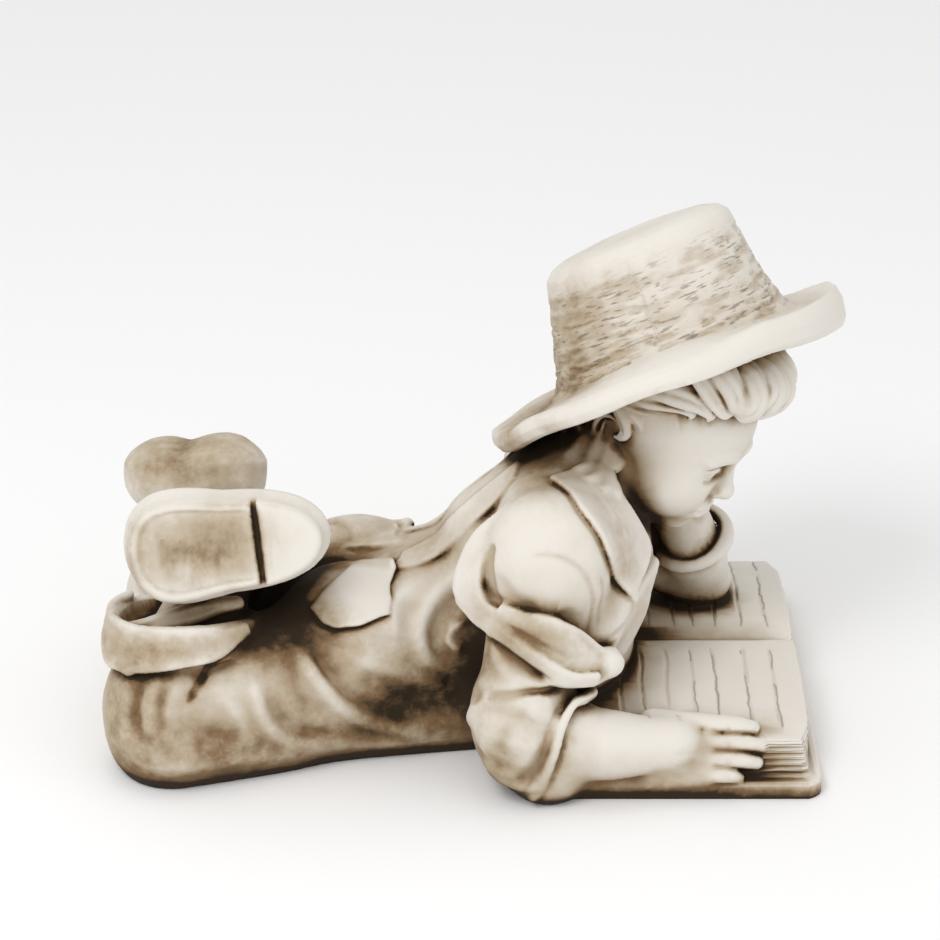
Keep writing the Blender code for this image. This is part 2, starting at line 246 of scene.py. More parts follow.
def outlineTable(points, step=0.5, margin=14):
    # Signed distance to a closed outline, tabled for quick reading.
    points = np.array(points, float)
    low = points.min(axis=0) - margin
    count = np.ceil((points.max(axis=0) + margin - low) / step).astype(int) + 1
    u = (low[0] + step * np.arange(count[0]))[:, None]
    v = (low[1] + step * np.arange(count[1]))[None, :]
    best = np.full((count[0], count[1]), 1e9)
    inside = np.zeros(best.shape, bool)
    for a, b in zip(points, np.roll(points, -1, axis=0)):
        link = b - a
        t = np.clip(((u - a[0]) * link[0] + (v - a[1]) * link[1]) / max(link @ link, 1e-9), 0, 1)
        best = np.minimum(best, (u - a[0] - t * link[0]) ** 2 + (v - a[1] - t * link[1]) ** 2)
        crosses = (a[1] > v) != (b[1] > v)
        rise = link[1] if abs(link[1]) > 1e-9 else 1e-9
        inside ^= crosses & (u < link[0] * (v - a[1]) / rise + a[0])
    return low, step, (np.sqrt(best) * np.where(inside, -1, 1)).astype(np.float32)


def readTable(table, u, v):
    low, step, values = table
    i = np.clip((u - low[0]) / step, 0, values.shape[0] - 1.001)
    j = np.clip((v - low[1]) / step, 0, values.shape[1] - 1.001)
    i0, j0 = i.astype(np.int32), j.astype(np.int32)
    di, dj = i - i0, j - j0
    flat = values.ravel()
    at = i0 * values.shape[1] + j0
    near = flat[at] * (1 - dj) + flat[at + 1] * dj
    far = flat[at + values.shape[1]] * (1 - dj) + flat[at + values.shape[1] + 1] * dj
    return near * (1 - di) + far * di


def fieldOnGrid(axes):
    field = np.full([len(axis) for axis in axes], farAway, np.float32)
    for low, high, change in strokes:
        first = [int(np.searchsorted(axis, a)) for axis, a in zip(axes, low)]
        last = [int(np.searchsorted(axis, b)) for axis, b in zip(axes, high)]
        if any(b <= a for a, b in zip(first, last)):
            continue
        part = tuple(slice(a, b) for a, b in zip(first, last))
        x = axes[0][part[0]][:, None, None]
        y = axes[1][part[1]][None, :, None]
        z = axes[2][part[2]][None, None, :]
        field[part] = change(field[part], x, y, z)
    return field


def fieldAtPoints(points):
    x, y, z = [np.ascontiguousarray(points[:, i], np.float32) for i in range(3)]
    field = np.full(len(points), farAway, np.float32)
    for low, high, change in strokes:
        near = (x > low[0]) & (x < high[0]) & (y > low[1]) & (y < high[1]) & (z > low[2]) & (z < high[2])
        pick = np.nonzero(near)[0]
        if len(pick):
            field[pick] = change(field[pick], x[pick], y[pick], z[pick])
    return field


def gridAxis(low, high, fineLow, fineHigh, fine, plain):
    before = np.arange(fineLow, low - plain, -plain)[::-1]
    middle = np.arange(fineLow + fine, fineHigh, fine)
    after = np.arange(middle[-1] + plain, high + plain, plain)
    return np.concatenate([before, middle, after]).astype(np.float32)


def surfaceOf(field, axes):
    # Surface nets: one vertex in each grid cell that the surface crosses, one face for each crossed edge.
    inside = field < 0
    sums = inside[:-1, :-1, :-1].astype(np.int8)
    for i, j, k in ((1, 0, 0), (0, 1, 0), (0, 0, 1), (1, 1, 0), (1, 0, 1), (0, 1, 1), (1, 1, 1)):
        nx, ny, nz = inside.shape
        sums += inside[i:nx - 1 + i, j:ny - 1 + j, k:nz - 1 + k]
    cells = np.argwhere((sums > 0) & (sums < 8))
    index = np.full(sums.shape, -1, np.int32)
    index[cells[:, 0], cells[:, 1], cells[:, 2]] = np.arange(len(cells))
    total = np.zeros((len(cells), 3))
    count = np.zeros(len(cells))
    corners = [(i, j, k) for i in (0, 1) for j in (0, 1) for k in (0, 1)]
    spots = {c: cells + np.array(c) for c in corners}
    values = {c: field[s[:, 0], s[:, 1], s[:, 2]] for c, s in spots.items()}
    places = {c: np.stack([axes[i][s[:, i]] for i in range(3)], axis=1) for c, s in spots.items()}
    for c in corners:
        for axis in range(3):
            if c[axis]:
                continue
            d = tuple(v + (1 if i == axis else 0) for i, v in enumerate(c))
            a, b = values[c], values[d]
            crossed = (a < 0) != (b < 0)
            share = np.where(crossed, a / np.where(crossed, a - b, 1), 0)[:, None]
            total += np.where(crossed[:, None], places[c] + share * (places[d] - places[c]), 0)
            count += crossed
    vertices = total / count[:, None]
    quads = []
    for axis in range(3):
        step = [0, 0, 0]
        step[axis] = 1
        n = inside.shape
        a = inside[: n[0] - step[0], : n[1] - step[1], : n[2] - step[2]]
        b = inside[step[0]:, step[1]:, step[2]:]
        edge = np.argwhere(a != b)
        u, v = [(1, 2), (2, 0), (0, 1)][axis]
        edge = edge[(edge[:, u] > 0) & (edge[:, v] > 0)]
        edge = edge[(edge[:, u] < n[u] - 1) & (edge[:, v] < n[v] - 1)]
        back = {w: np.eye(3, dtype=int)[w] for w in (u, v)}
        ring = [edge - back[u] - back[v], edge - back[v], edge, edge - back[u]]
        quad = np.stack([index[r[:, 0], r[:, 1], r[:, 2]] for r in ring], axis=1)
        outward = a[edge[:, 0], edge[:, 1], edge[:, 2]]
        quads.append(np.where(outward[:, None], quad, quad[:, ::-1]))
    return vertices, np.concatenate(quads)


def fieldNormals(points, reach=0.6):
    # The field's slope, from four readings round each point.
    slope = np.zeros((len(points), 3))
    for corner in ((1, -1, -1), (-1, -1, 1), (-1, 1, -1), (1, 1, 1)):
        way = np.array(corner, float)
        slope += fieldAtPoints(points + way * reach)[:, None] * way
    length = np.linalg.norm(slope, axis=1)
    return slope / np.maximum(length, 1e-6)[:, None], length / (4 * reach)


def settle(points, rounds=2, most=0.5):
    # Moves points onto the surface, by a limited step each round.
    for _ in range(rounds):
        normal, steep = fieldNormals(points)
        push = np.clip(fieldAtPoints(points) / np.maximum(steep, 0.35), -most, most)
        points = points - normal * push[:, None]
    return points


def meshFrom(name, vertices, faces):
    mesh = bpy.data.meshes.new(name)
    corners = faces.shape[1]
    mesh.vertices.add(len(vertices))
    mesh.vertices.foreach_set("co", np.ascontiguousarray(vertices, np.float32).ravel())
    mesh.loops.add(faces.size)
    mesh.loops.foreach_set("vertex_index", np.ascontiguousarray(faces, np.int32).ravel())
    mesh.polygons.add(len(faces))
    mesh.polygons.foreach_set("loop_start", np.arange(0, faces.size, corners, dtype=np.int32))
    mesh.update(calc_edges=True)
    return mesh


# Trousers, with the lower legs that come out of their turned-up hems

trouserSettings = {"seat": (66, 54, 56), "thigh": 60, "knee": 57, "hemRadius": 60, "shin": 34}


def modelTrousers():
    thigh, knee = trouserSettings["thigh"], trouserSettings["knee"]
    for side in (-1, 1):
        ball((-94, side * 42, 88), trouserSettings["seat"], (0, 8, side * 12), blend=14)
        limb([(-90, side * 44, 66, thigh), (-160, side * 64, 58, 58), (-236, side * 84, 54, knee)], 14)
        limb([
            (-238, side * 90, 34, 56), (-170, side * 66, 32, 58), (-110, side * 44, 30, 58),
            (10, side * 26, 28, 56)
        ], 10)
        limb([(-236, side * 84, 54, 55), (-236, side * 64, 62, 50)], 10)
    limb([(-90, 0, 66, 66), (-10, 0, 74, 72)], 12)
    ball((-40, 0, 80), (80, 84, 70), (0, -14, 0), blend=12)


trouserFolds = [
    # depth (raised where negative), width, stations
    (-10, 6, [
        (-146, -90, 112), (-129, -104, 98), (-117, -112, 82), (-101, -113, 62), (-81, -106, 43),
        (-57, -98, 30), (-34, -88, 22)
    ]),
    (6, 8, [(-126, -96, 106), (-108, -108, 88), (-92, -108, 68), (-70, -102, 52), (-44, -94, 40)]),
    (-8, 5, [
        (-172, -114, 92), (-168, -122, 78), (-163, -128, 62), (-153, -127, 46), (-140, -122, 34),
        (-112, -110, 26)
    ]),
    (6, 6, [(-158, -116, 84), (-153, -122, 70), (-146, -124, 56), (-134, -120, 44), (-112, -112, 36)]),
    (-5.5, 6.5, [(-96, -96, 104), (-77, -99, 95), (-58, -94, 88), (-40, -88, 76), (-20, -78, 64)]),
    (5.5, 10, [(-86, -98, 84), (-66, -96, 70), (-48, -92, 56), (-26, -86, 44)]),
    (4, 10, [(-150, -106, 92), (-136, -110, 74), (-122, -111, 54)]),
    (4.5, 12, [(-234, -138, 62), (-214, -134, 56), (-194, -130, 50), (-180, -130, 56)]),
    (-3, 6, [(-196, -124, 84), (-184, -128, 66), (-180, -129, 46), (-188, -131, 32)]),
    (-3, 7, [(-268, -116, 104), (-273, -126, 76), (-272, -134, 52), (-262, -138, 36)]),
    (-3, 6, [(-247, -122, 106), (-252, -134, 80), (-250, -140, 56)]),
    (-2.5, 6, [(-226, -120, 108), (-234, -132, 84), (-236, -138, 66)]),
    (2.2, 5, [(-258, -122, 92), (-263, -132, 72), (-260, -137, 52)]),
    (2.2, 5, [(-238, -126, 94), (-243, -134, 76), (-243, -139, 58)]),
    (-3.5, 7, [
        (-268, -134, 30), (-225, -140, 28), (-176, -128, 25), (-125, -115, 23), (-75, -96, 18),
        (-24, -86, 16)
    ]),
    (3, 8, [(-36, -84, 88), (-16, -82, 70), (-8, -80, 48)]),
]


def modelTrouserFolds():
    pressLines(bothSides(trouserFolds))
    pressLines([
        (-3, 7, [(-60 - 26 * i, -60, 10), (-74 - 26 * i, 0, 10), (-60 - 26 * i, 60, 10)])
        for i in range(3)
    ])
    seat = [(4, 6, [(-150, 0, 120), (-110, 0, 140), (-60, 0, 150)])]
    seat.append((-4, 9, [(-128, -30, 110), (-112, -16, 128), (-96, -8, 140)]))
    seat.append((-4, 9, [(-128, 30, 110), (-112, 16, 128), (-96, 8, 140)]))
    pressLines(seat)
    pressLines([(7, 2.0, [(-203, -117, 106), (-212, -122, 94), (-222, -132, 80)])])


def hemBand(side):
    # The rolled hem: a band turned round the leg's axis, open and hollow at the top.
    axis, across, along = axisFrame((0.05, -side * 0.30, 1))
    matrix = np.array([[across[i], along[i], axis[i]] for i in range(3)])
    centre = (-227 + side * 4 + (6 if side > 0 else 0), side * 62, 104)
    big = trouserSettings["hemRadius"]
    profile = [
        (0, -28), (big - 8, -28), (big - 1, -15), (big + 2, -12), (big + 1, 8), (big, 15), (big - 4, 17),
        (big - 9, 14), (big - 12, 4), (big - 20, -4), (0, -6)
    ]
    table = outlineTable(profile)

    def change(field, x, y, z):
        u, v, w = toLocal(x, y, z, centre, matrix)
        angle = np.arctan2(v, u)
        wave = 1 + 0.03 * np.sin(3 * angle + side) + 0.015 * np.sin(7 * angle)
        rho = np.sqrt(u * u + v * v) / wave
        return softMin(field, readTable(table, rho, w + 1.5 * np.sin(2 * angle)), 3)

    reach = np.array([big + 12, big + 12, 60])
    addStroke(np.array(centre) - reach, np.array(centre) + reach, change)


def modelLowerLegs():
    shin = trouserSettings["shin"]
    for side in (-1, 1):
        hemBand(side)
        back = 0 if side < 0 else 12
        near = [
            (-277 + back, side * 30, 119), (-288 + back, side * 50, 120), (-282 + back, side * 88, 119),
            (-257, side * 109, 126), (-223, side * 110, 130), (-197, side * 104, 127),
            (-179, side * 91, 124)
        ]
        below = [
            (-282 + back, side * 30, 101), (-293 + back, side * 52, 100), (-287 + back, side * 96, 98),
            (-271, side * 114, 101), (-247, side * 125, 107), (-223, side * 126, 112),
            (-199, side * 117, 114), (-178, side * 93, 121)
        ]
        sheet(near, below, 4.2, 1.2)
        pressLines([(3.2, 2.2, [(x, y, z - 6.5) for x, y, z in below])])
    for side in (-1, 1):
        limb([
            (-280, side * 76, 110, 8), (-258, side * 82, 117, 9), (-232, side * 80, 125, 10),
            (-206, side * 74, 132, 9), (-186, side * 70, 134, 6)
        ], 6)
        pressLines([(2.5, 2.5, [(-272, side * 92, 122), (-236, side * 92, 134), (-200, side * 86, 140)])])
    limb([(-232, -64, 84, shin), (-206, -8, 128, 30), (-204, 44, 168, 27)], 6)
    limb([(-232, 64, 84, shin), (-186, 14, 132, 30), (-150, -52, 184, 26)], 6)


# Shoes, each built up from its sole's outline

shoeSettings = {
    "near": {"heel": (-112, -104, 213), "toe": (-268, -104, 195), "faces": (0.1, -1, 0.28), "heelWidth": 66,
             "toeWidth": 108, "depth": 54, "blunt": 0.62, "soft": False},
    "far": {"heel": (-170, 52, 217), "toe": (-284, 82, 203), "faces": (0, 0.4, 1), "heelWidth": 78,
            "toeWidth": 86, "depth": 62, "blunt": 0.75, "soft": True},
    "heelShare": 0.33,  # of the sole's length
}


def modelShoe(size):
    heel, toe = np.array(size["heel"], float), np.array(size["toe"], float)
    along = (toe - heel) / np.linalg.norm(toe - heel)
    normal = np.array(size["faces"], float)
    normal -= along * (normal @ along)
    normal /= np.linalg.norm(normal)
    across = np.cross(normal, along)
    length = np.linalg.norm(toe - heel)
    matrix = np.stack([along, across, normal], axis=1)
    outline = []
    for step in range(72):
        angle = 2 * math.pi * step / 72
        blunt = abs(math.cos(angle)) ** size["blunt"]
        lean = math.copysign(blunt, math.cos(angle))
        half = (size["heelWidth"] + size["toeWidth"]) / 4 + (size["toeWidth"] - size["heelWidth"]) / 4 * lean
        outline.append((lean * length / 2, math.sin(angle) * half * (1 - 0.12 * (1 - blunt))))
    table = outlineTable(outline, margin=20)
    middle = (heel + toe) / 2
    heelLine = length * (shoeSettings["heelShare"] - 0.5)
    depth = size["depth"]

    def change(field, x, y, z):
        u, v, w = toLocal(x, y, z, middle, matrix)
        flat = readTable(table, u, v)
        back = -w
        # the upper: full behind the welt, drawn in towards the ankle
        inward = np.interp(
            back, (0, 8, 16, depth * 0.6, depth * 0.85, depth), (7, 1, -3, 0, 9, 24)
        ).astype(np.float32)
        upper = softMax(flat + inward, softMax(-back - 1, back - depth, 2), 6)
        sole = softMax(softMax(flat + 3, -back - 5 + 0.6 * np.cos(u / 22), 6), back - 8, 2)
        block = softMax(softMax(softMax(flat + 2, u - heelLine + 1.4, 1.5), -back - 7.5, 6), back - 10, 2)
        front = softMax(sole, heelLine + 2.2 - u, 1.5)
        plate = softMin(front, block, 0.5)
        whole = softMin(upper, plate, 3)
        edge = np.exp(-((flat + 9 + 0.03 * (u + 40)) / 1.3) ** 2) * (u > heelLine + 6) * (back < 4)
        brushed = 0.5 + 0.5 * np.sin(u * 1.25 + 0.6 * np.sin(v * 0.2))
        worn = np.exp(-((u - 4) / 26) ** 2 - (v / 26) ** 2) * (back < 4) * brushed
        if size["soft"]:
            rise = 5 * np.exp(-((u + 34) / 30) ** 2) - 3 * np.exp(-((u - 6) / 16) ** 2)
            whole = softMax(flat + inward * 0.7 + 1, softMax(-back - rise, back - depth, 2), 26)
            edge = worn = 0
        return softMin(field, whole + 1.1 * edge + 0.9 * worn, 5)

    reach = np.full(3, 0.5 * length + 34)
    addStroke(middle - reach, middle + reach, change)


soleMarks = {"count": 13, "start": -238, "apart": 3.6, "top": (206, 216), "foot": (178, 194), "out": -112,
             "depth": (0.6, 1.3), "width": 1.2, "seed": 4}


def modelSoleMarks():
    # Brush strokes across the middle of the worn sole.
    m = soleMarks
    random = np.random.default_rng(m["seed"])
    marks = []
    for step in range(m["count"]):
        x = m["start"] + m["apart"] * step
        top, foot = random.uniform(*m["top"]), random.uniform(*m["foot"])
        depth = random.uniform(*m["depth"])
        marks.append((depth, m["width"], [(x, m["out"], top), (x + random.uniform(-1, 3), m["out"], foot)]))
    pressLines(marks)


def fillFarShoe():
    # The far shoe turns its rounded upper to the front.
    ball((-250, 60, 184), (34, 42, 26), (0, -4, 12), blend=10)
    ball((-206, 54, 192), (32, 34, 26), (0, 6, 12), blend=10)
    pressLines([(-2, 6, [(-232, 20, 182), (-214, 18, 200)]), (2, 7, [(-224, 22, 180), (-200, 20, 188)])])


# Shirt, straps and pockets

def modelShirt():
    limb([(-10, 0, 80, 72), (30, 0, 112, 74), (78, 4, 150, 70)], 12)
    ball((54, 0, 126), (62, 100, 78), (0, -38, 0), blend=12)
    ball((70, 0, 70), (66, 88, 72), blend=12)
    limb([(22, 0, 158, 44), (66, 2, 196, 42), (112, 12, 222, 38)], 10)
    limb([(62, -84, 186, 50), (72, 6, 196, 42), (86, 88, 182, 50)], 10)
    for side in (-1, 1):
        limb([
            (106, side * 22, 196, 20), (118, side * 24, 160, 22), (112, side * 34, 124, 26),
            (84, side * 50, 92, 28)
        ], 12)


def modelChest():
    limb([(128, -34, 160, 19), (124, -44, 124, 21), (108, -58, 96, 22)], 8)
    limb([(128, 50, 160, 19), (124, 60, 124, 21), (108, 70, 96, 22)], 8)
    front = [(126, -74, 140), (120, -76, 122), (113, -80, 108), (104, -86, 98)]
    frontIn = [(146, -42, 155), (141, -48, 138), (134, -54, 122), (122, -64, 106)]
    sheet(front, frontIn, 6, 3)
    sheet([(x, 16 - y, z) for x, y, z in front], [(x, 16 - y, z) for x, y, z in frontIn], 6, 3)


strapSettings = {
    "near": [
        (-60, -29, 144), (-40, -30, 149), (-16, -30, 166), (4, -31, 189), (24, -30, 207), (40, -26, 218)
    ],
    "far": [(-52, -14, 148), (-28, -9, 160), (-12, -14, 181), (8, -12, 201), (24, -11, 213), (44, -10, 224)],
    "rise": 3.0,
}


def modelStraps():
    for turn in (1, -1):
        edges = []
        for name in ("near", "far"):
            spots = np.array(strapSettings[name], float)
            spots[:, 1] = spots[:, 1] if turn > 0 else 16 - spots[:, 1]
            edges.append(settle(spots, 4, 6.0))
        sheet(edges[0], edges[1], strapSettings["rise"], 1.2)
    pressLines([
        (1.6, 1.6, [(-60, 8 + 22 * t, 150), (-66, 8 + 10 * t, 148), (-62, 8 + 34 * t, 148)])
        for t in (-1, 1)
    ])


nearPocket = [
    (-128, -66, 128), (-118, -58, 138), (-108, -46, 143), (-97, -30, 146), (-88, -24, 148), (-62, -22, 149),
    (-59, -31, 145), (-64, -48, 139), (-64, -62, 134), (-65, -74, 127), (-87, -83, 121), (-107, -84, 119),
    (-117, -80, 121)
]


def modelPockets():
    for turn in (1, -1):
        up = (0, 0.454 * turn, 0.891)
        spots = [(x, y * turn, z) for x, y, z in nearPocket]
        layer(spots, 4.0, 14, up=up, line=1.3)
    sheet([
        (-112, 22, 130), (-90, 14, 137), (-58, 8, 143)
    ], [(-103, 50, 131), (-80, 52, 137), (-54, 50, 139)], 6, 1.5)
    pressLines([(2.4, 2.2, [(-114, 16, 134), (-88, 6, 142), (-56, 0, 148)])])


# Arms, sleeves, collar and hands

nearEdge = -149.0  # the cover's edge under the flat forearm
pageTop = 51.0  # the height of the pages


def modelNearArm():
    ball((62, -88, 182), (52, 48, 60), (12, 10, 0), blend=10)
    limb([(58, -88, 156, 42), (46, -112, 98, 38), (46, -128, 54, 40)], 12)
    ball((37, -128, 68), (36, 38, 38), blend=14)
    limb([(48, -131, 46, 40), (76, nearEdge + 15, 48, 33)], 12)
    ball((62, -130, 24), (35, 38, 34), blend=12)
    limb([(92, -88, 168, 20), (94, -92, 142, 20), (94, -100, 118, 17)], 8)
    limb([(78, nearEdge + 15, 14, 17), (188, nearEdge + 13, 10, 14)], 8)
    limb([
        (60, nearEdge + 15, pageTop - 5, 30), (104, nearEdge + 12, pageTop - 7, 28.5),
        (136, nearEdge + 12, pageTop - 8, 23.5), (158, nearEdge + 14, pageTop - 9, 21)
    ], 5)
    ball((157, nearEdge + 16, pageTop - 11), (25, 20, 25), (22, 0, 0), blend=6)


nearSleeve = {
    "bandUp": [
        (6, -100, 163), (14, -112, 161), (39, -132, 162), (66, -138, 156), (85, -136, 142),
        (101, -128, 123), (111, -118, 117)
    ],
    "bandLow": [
        (-6, -96, 152), (6, -108, 143), (19, -124, 141), (39, -140, 132), (58, -146, 121), (76, -146, 109),
        (95, -138, 104)
    ],
    "loopOut": [(30, -78, 222), (6, -86, 203), (-5, -91, 181), (-9, -96, 163), (-3, -98, 150)],
    "loopIn": [(30, -90, 213), (17, -96, 202), (10, -102, 188), (7, -104, 171), (12, -110, 160)],
    "cuff": [
        (90, -116, 82), (96, -127, 86), (90, -139, 88), (80, -149, 88), (71, -161, 75), (66, -167, 57),
        (60, -167, 38), (50, -162, 12)
    ],
}
sleeveFolds = [
    (-5.5, 6, [(10, -128, 132), (19, -146, 121), (44, -152, 111), (80, -146, 102)]),
    (-4.5, 6, [(20, -150, 96), (2, -142, 82), (-3, -132, 60)]),
    (5, 4, [(12, -146, 92), (30, -152, 98), (50, -151, 102), (80, -144, 101)]),
    (-3.5, 7, [(44, -156, 94), (62, -160, 84), (70, -160, 72)]), (4, 7, [(30, -160, 76), (26, -160, 54)]),
    (-3, 7, [(14, -154, 66), (16, -156, 40), (30, -160, 22)]),
    (3.5, 5, [(58, -164, 66), (50, -166, 44), (38, -164, 26)]),
    (-2.5, 6, [(46, -164, 70), (40, -166, 48), (28, -164, 32)]),
    (1.4, 1.5, [
        (46, -130, 210), (65, -133, 212), (84, -132, 201), (94, -127, 178), (98, -122, 153), (94, -120, 132)
    ]),
    (1.2, 1.5, [(100, -123, 189), (106, -118, 168), (104, -116, 150), (98, -112, 134)]),
    (-3.5, 6, [(6, -128, 96), (20, -140, 102), (42, -150, 98), (68, -154, 92)]),
    (4, 6, [(4, -130, 84), (24, -148, 84), (48, -158, 80)]),
    (-2.8, 7, [(6, -134, 68), (28, -156, 66), (54, -164, 58)]),
    (3, 7, [(10, -140, 48), (32, -160, 44), (54, -168, 40)]),
    (-2.5, 6, [(12, -142, 32), (34, -160, 24), (56, -166, 24)]),
    (3, 7, [(24, -118, 186), (34, -128, 172), (52, -134, 166)]),
    (2.5, 6, [(70, -134, 164), (86, -130, 150)]),
]
armholeFolds = [
    (
        -5.5, 6,
        [(4, -64, 166), (-20, -56, 146), (-36, -68, 126), (-40, -80, 108), (-32, -86, 88), (-12, -88, 72)]
    ),
    (6, 6, [(0, -76, 158), (-14, -72, 138), (-24, -78, 122), (-24, -86, 102), (-10, -90, 86)]),
    (-3.5, 5, [(6, -90, 140), (-6, -88, 130), (-14, -90, 118), (-12, -94, 104), (0, -98, 94)]),
    (9, 9, [(2, -94, 124), (0, -98, 108), (4, -104, 96)]),
    (-3, 6, [(-40, -50, 150), (-60, -66, 132), (-62, -84, 104)]),
]


def modelNearSleeve():
    n = nearSleeve
    sheet(n["bandUp"], n["bandLow"] + [(108, -126, 106)], 5.2, 2.5)
    fold = [(x, y - 2, z - 1) for x, y, z in n["bandLow"]]
    sheet(fold, [(x + 3, y - 4, z + 6) for x, y, z in n["bandLow"]], 4, 2)
    ball((108, -126, 112), (13, 11, 12), blend=4)
    sheet(n["loopOut"], n["loopIn"], 5, 3)
    limb([(17, -108, 204, 3), (13, -112, 188, 5.5), (15, -116, 170, 6), (22, -122, 164, 3)], 3, True)
    limb([
        (8, -118, 134, 3), (26, -140, 130, 4.5), (48, -152, 118, 5), (72, -154, 101, 6), (94, -146, 93, 7),
        (104, -132, 90, 5)
    ], 3, True)
    pressLines(sleeveFolds)
    limb([(*s, 4.6) for s in n["cuff"]], 2.5)
    pressLines([(2.2, 2.4, [(x - 8, y - 3, z + 3) for x, y, z in n["cuff"][2:]])])
    pressLines([(2.4, 1.8, [(x + 6, y - 1, z - 2) for x, y, z in n["cuff"][1:]])])
    pressLines([
        (1.6, 2.2, [(86, -146, 150), (98, -138, 132), (104, -132, 120)]),
        (1.2, 1.6, [(30, -132, 152), (54, -144, 142), (78, -146, 128)])
    ])
    pressLines(bothSides(armholeFolds, 4))


def fingerPlace(finger):
    # How far out and up a finger of the near hand lies, how far it reaches, and how thick it is.
    out = nearEdge + (27, 18, 10, 4)[finger]
    return out, pageTop + 1 - 10.5 * finger, (224, 231, 227, 212)[finger], 8.2 - 0.3 * finger


def modelNearHand():
    for finger in range(4):
        out, up, reach, thick = fingerPlace(finger)
        limb([
            (146, out + 5, up - 1, thick + 4), (166, out + 2, up, thick + 2.5),
            (188, out + 0.5, up + 1, thick + 0.6)
        ], 8)
    for finger in range(4):
        out, up, reach, thick = fingerPlace(finger)
        limb([
            (172, out + 3, up, thick - 0.5), (194, out - 1, up + 1.5, thick),
            ((200 + reach) / 2, out - 1, up + 0.5, thick - 0.7), (reach, out + 1, up - 3, thick - 1.8)
        ], 1.6)


def hoop(centre, axis, radius, thickness, blend=4, lumpy=0.0):
    # A rolled cuff: a ring round an axis.
    axis, across, along = axisFrame(axis)
    stations = []
    for step in range(25):
        angle = 2 * math.pi * step / 24
        spot = Vector(centre) + (across * math.cos(angle) + along * math.sin(angle)) * radius
        stations.append((*spot, thickness * (1 + lumpy * math.sin(3 * angle))))
    limb(stations, blend, curved=False)


def detailNearHand():
    # Knuckles, nails and the dents between the tendons.
    for finger in range(4):
        out, up, reach, thick = fingerPlace(finger)
        spots = [(reach - 3, out - 7, up + 3), (reach - 8, out - 8, up + 4)]
        pressLines([(-0.7, 2.4, spots), (0.7, 2.0, [(204, out - 9, up - 1), (204, out - 6, up + 6)])])
    for tendon in range(3):
        height = pageTop - 4 - 11 * tendon
        pressLines([(1.1, 4, [(160, nearEdge - 6, height), (186, nearEdge - 4, height - 1)])])


collarOut = [
    (66, -54, 238), (77, -76, 237), (86, -100, 233), (98, -108, 218), (106, -110, 200), (113, -104, 180),
    (122, -94, 160), (125, -90, 150)
]
collarIn = [
    (98, -26, 233), (112, -40, 223), (125, -51, 208), (134, -52, 192), (140, -52, 178), (138, -65, 168),
    (131, -81, 160), (127, -89, 151)
]


def modelCollar():
    # The turned-down collar: on each side a flap from the nape to a point on the chest.
    for turn in (1, -1):
        chest = [(110, -84, 170, 15), (114, -88, 148, 15), (106, -96, 124, 14)]
        limb([(x, y if turn > 0 else 16 - y, z, r) for x, y, z, r in chest], 7)
        out = np.array([(x, y if turn > 0 else 16 - y, z) for x, y, z in collarOut], float)
        inner = np.array([(x, y if turn > 0 else 16 - y, z) for x, y, z in collarIn], float)
        out = settle(out, 4, 6.0)
        middle = (out + inner) / 2
        buried = fieldAtPoints(middle) < 0
        middle[buried] = settle(middle, 4, 6.0)[buried]
        pressLines([(2.4, 3.0, [tuple(s + (-4, -3 * turn, 0)) for s in out])])
        sheet(out, middle, 3.6, 1.0)
        sheet(middle, inner, 4.0, 1.0)
    placket = [(2.6, 2.0, [(126, -92, 148), (122, -94, 138), (116, -101, 130), (109, -110, 124)])]
    placket.append((-1.5, 2.5, [(132, -84, 144), (127, -88, 130), (120, -94, 120)]))
    pressLines(bothSides(placket, 16))
    back = [(80, -52, 224), (66, -34, 230), (58, -10, 233), (58, 20, 233), (66, 48, 230), (80, 66, 224)]
    backIn = [(98, -28, 230), (86, -20, 236), (80, 0, 240), (80, 14, 240), (86, 34, 236), (98, 42, 230)]
    sheet(back, backIn, 5, 2)


farRoll = {
    "middle": (134, 97, 123), "axis": (0.74, -0.03, -0.67), "turn": (-185, 5), "steps": 14,
    "rings": ((0, 41, 6.5), (-11, 42.5, 4.5)),  # shift along the axis, radius, thickness
}


def modelFarHand():
    # Curled fingers under the far cheek, folds of the far sleeve, and its roll round the upper arm.
    for finger in range(4):
        x = 152 + 9 * finger
        base = (x + 4, 62 + 2 * finger, 158 - 2 * finger, 8.5)
        middle = (x - 2, 70, 176 - 3 * finger, 8.5)
        tip = (x - 8, 60, 190 - 4 * finger, 7.5)
        limb([base, middle, tip], 2.4)
    limb([(186, 48, 150, 9), (190, 38, 166, 8.5), (184, 30, 178, 7)], 3)
    folds = [
        (-4, 6, [(150, 132, 140), (176, 128, 110), (196, 118, 84)]),
        (-3.5, 6, [(120, 142, 130), (148, 140, 104), (180, 124, 70)])
    ]
    folds += [
        (4, 5, [(134, 140, 138), (162, 134, 106), (190, 120, 76)]),
        (3, 5, [(100, 140, 120), (140, 138, 84), (176, 118, 56)])
    ]
    pressLines(folds)
    roll = farRoll
    axis, across, along = axisFrame(roll["axis"])
    start, end = roll["turn"]
    for shift, radius, thick in roll["rings"]:
        stations = []
        for step in range(roll["steps"] + 1):
            angle = math.radians(start + (end - start) * step / roll["steps"])
            outward = across * math.cos(angle) + along * math.sin(angle)
            spot = Vector(roll["middle"]) + axis * shift + outward * radius
            bulge = math.sin(math.pi * (step + 0.5) / (roll["steps"] + 1))
            stations.append((*spot, 1.5 + thick * bulge**0.4))
        limb(stations, 3, curved=False)


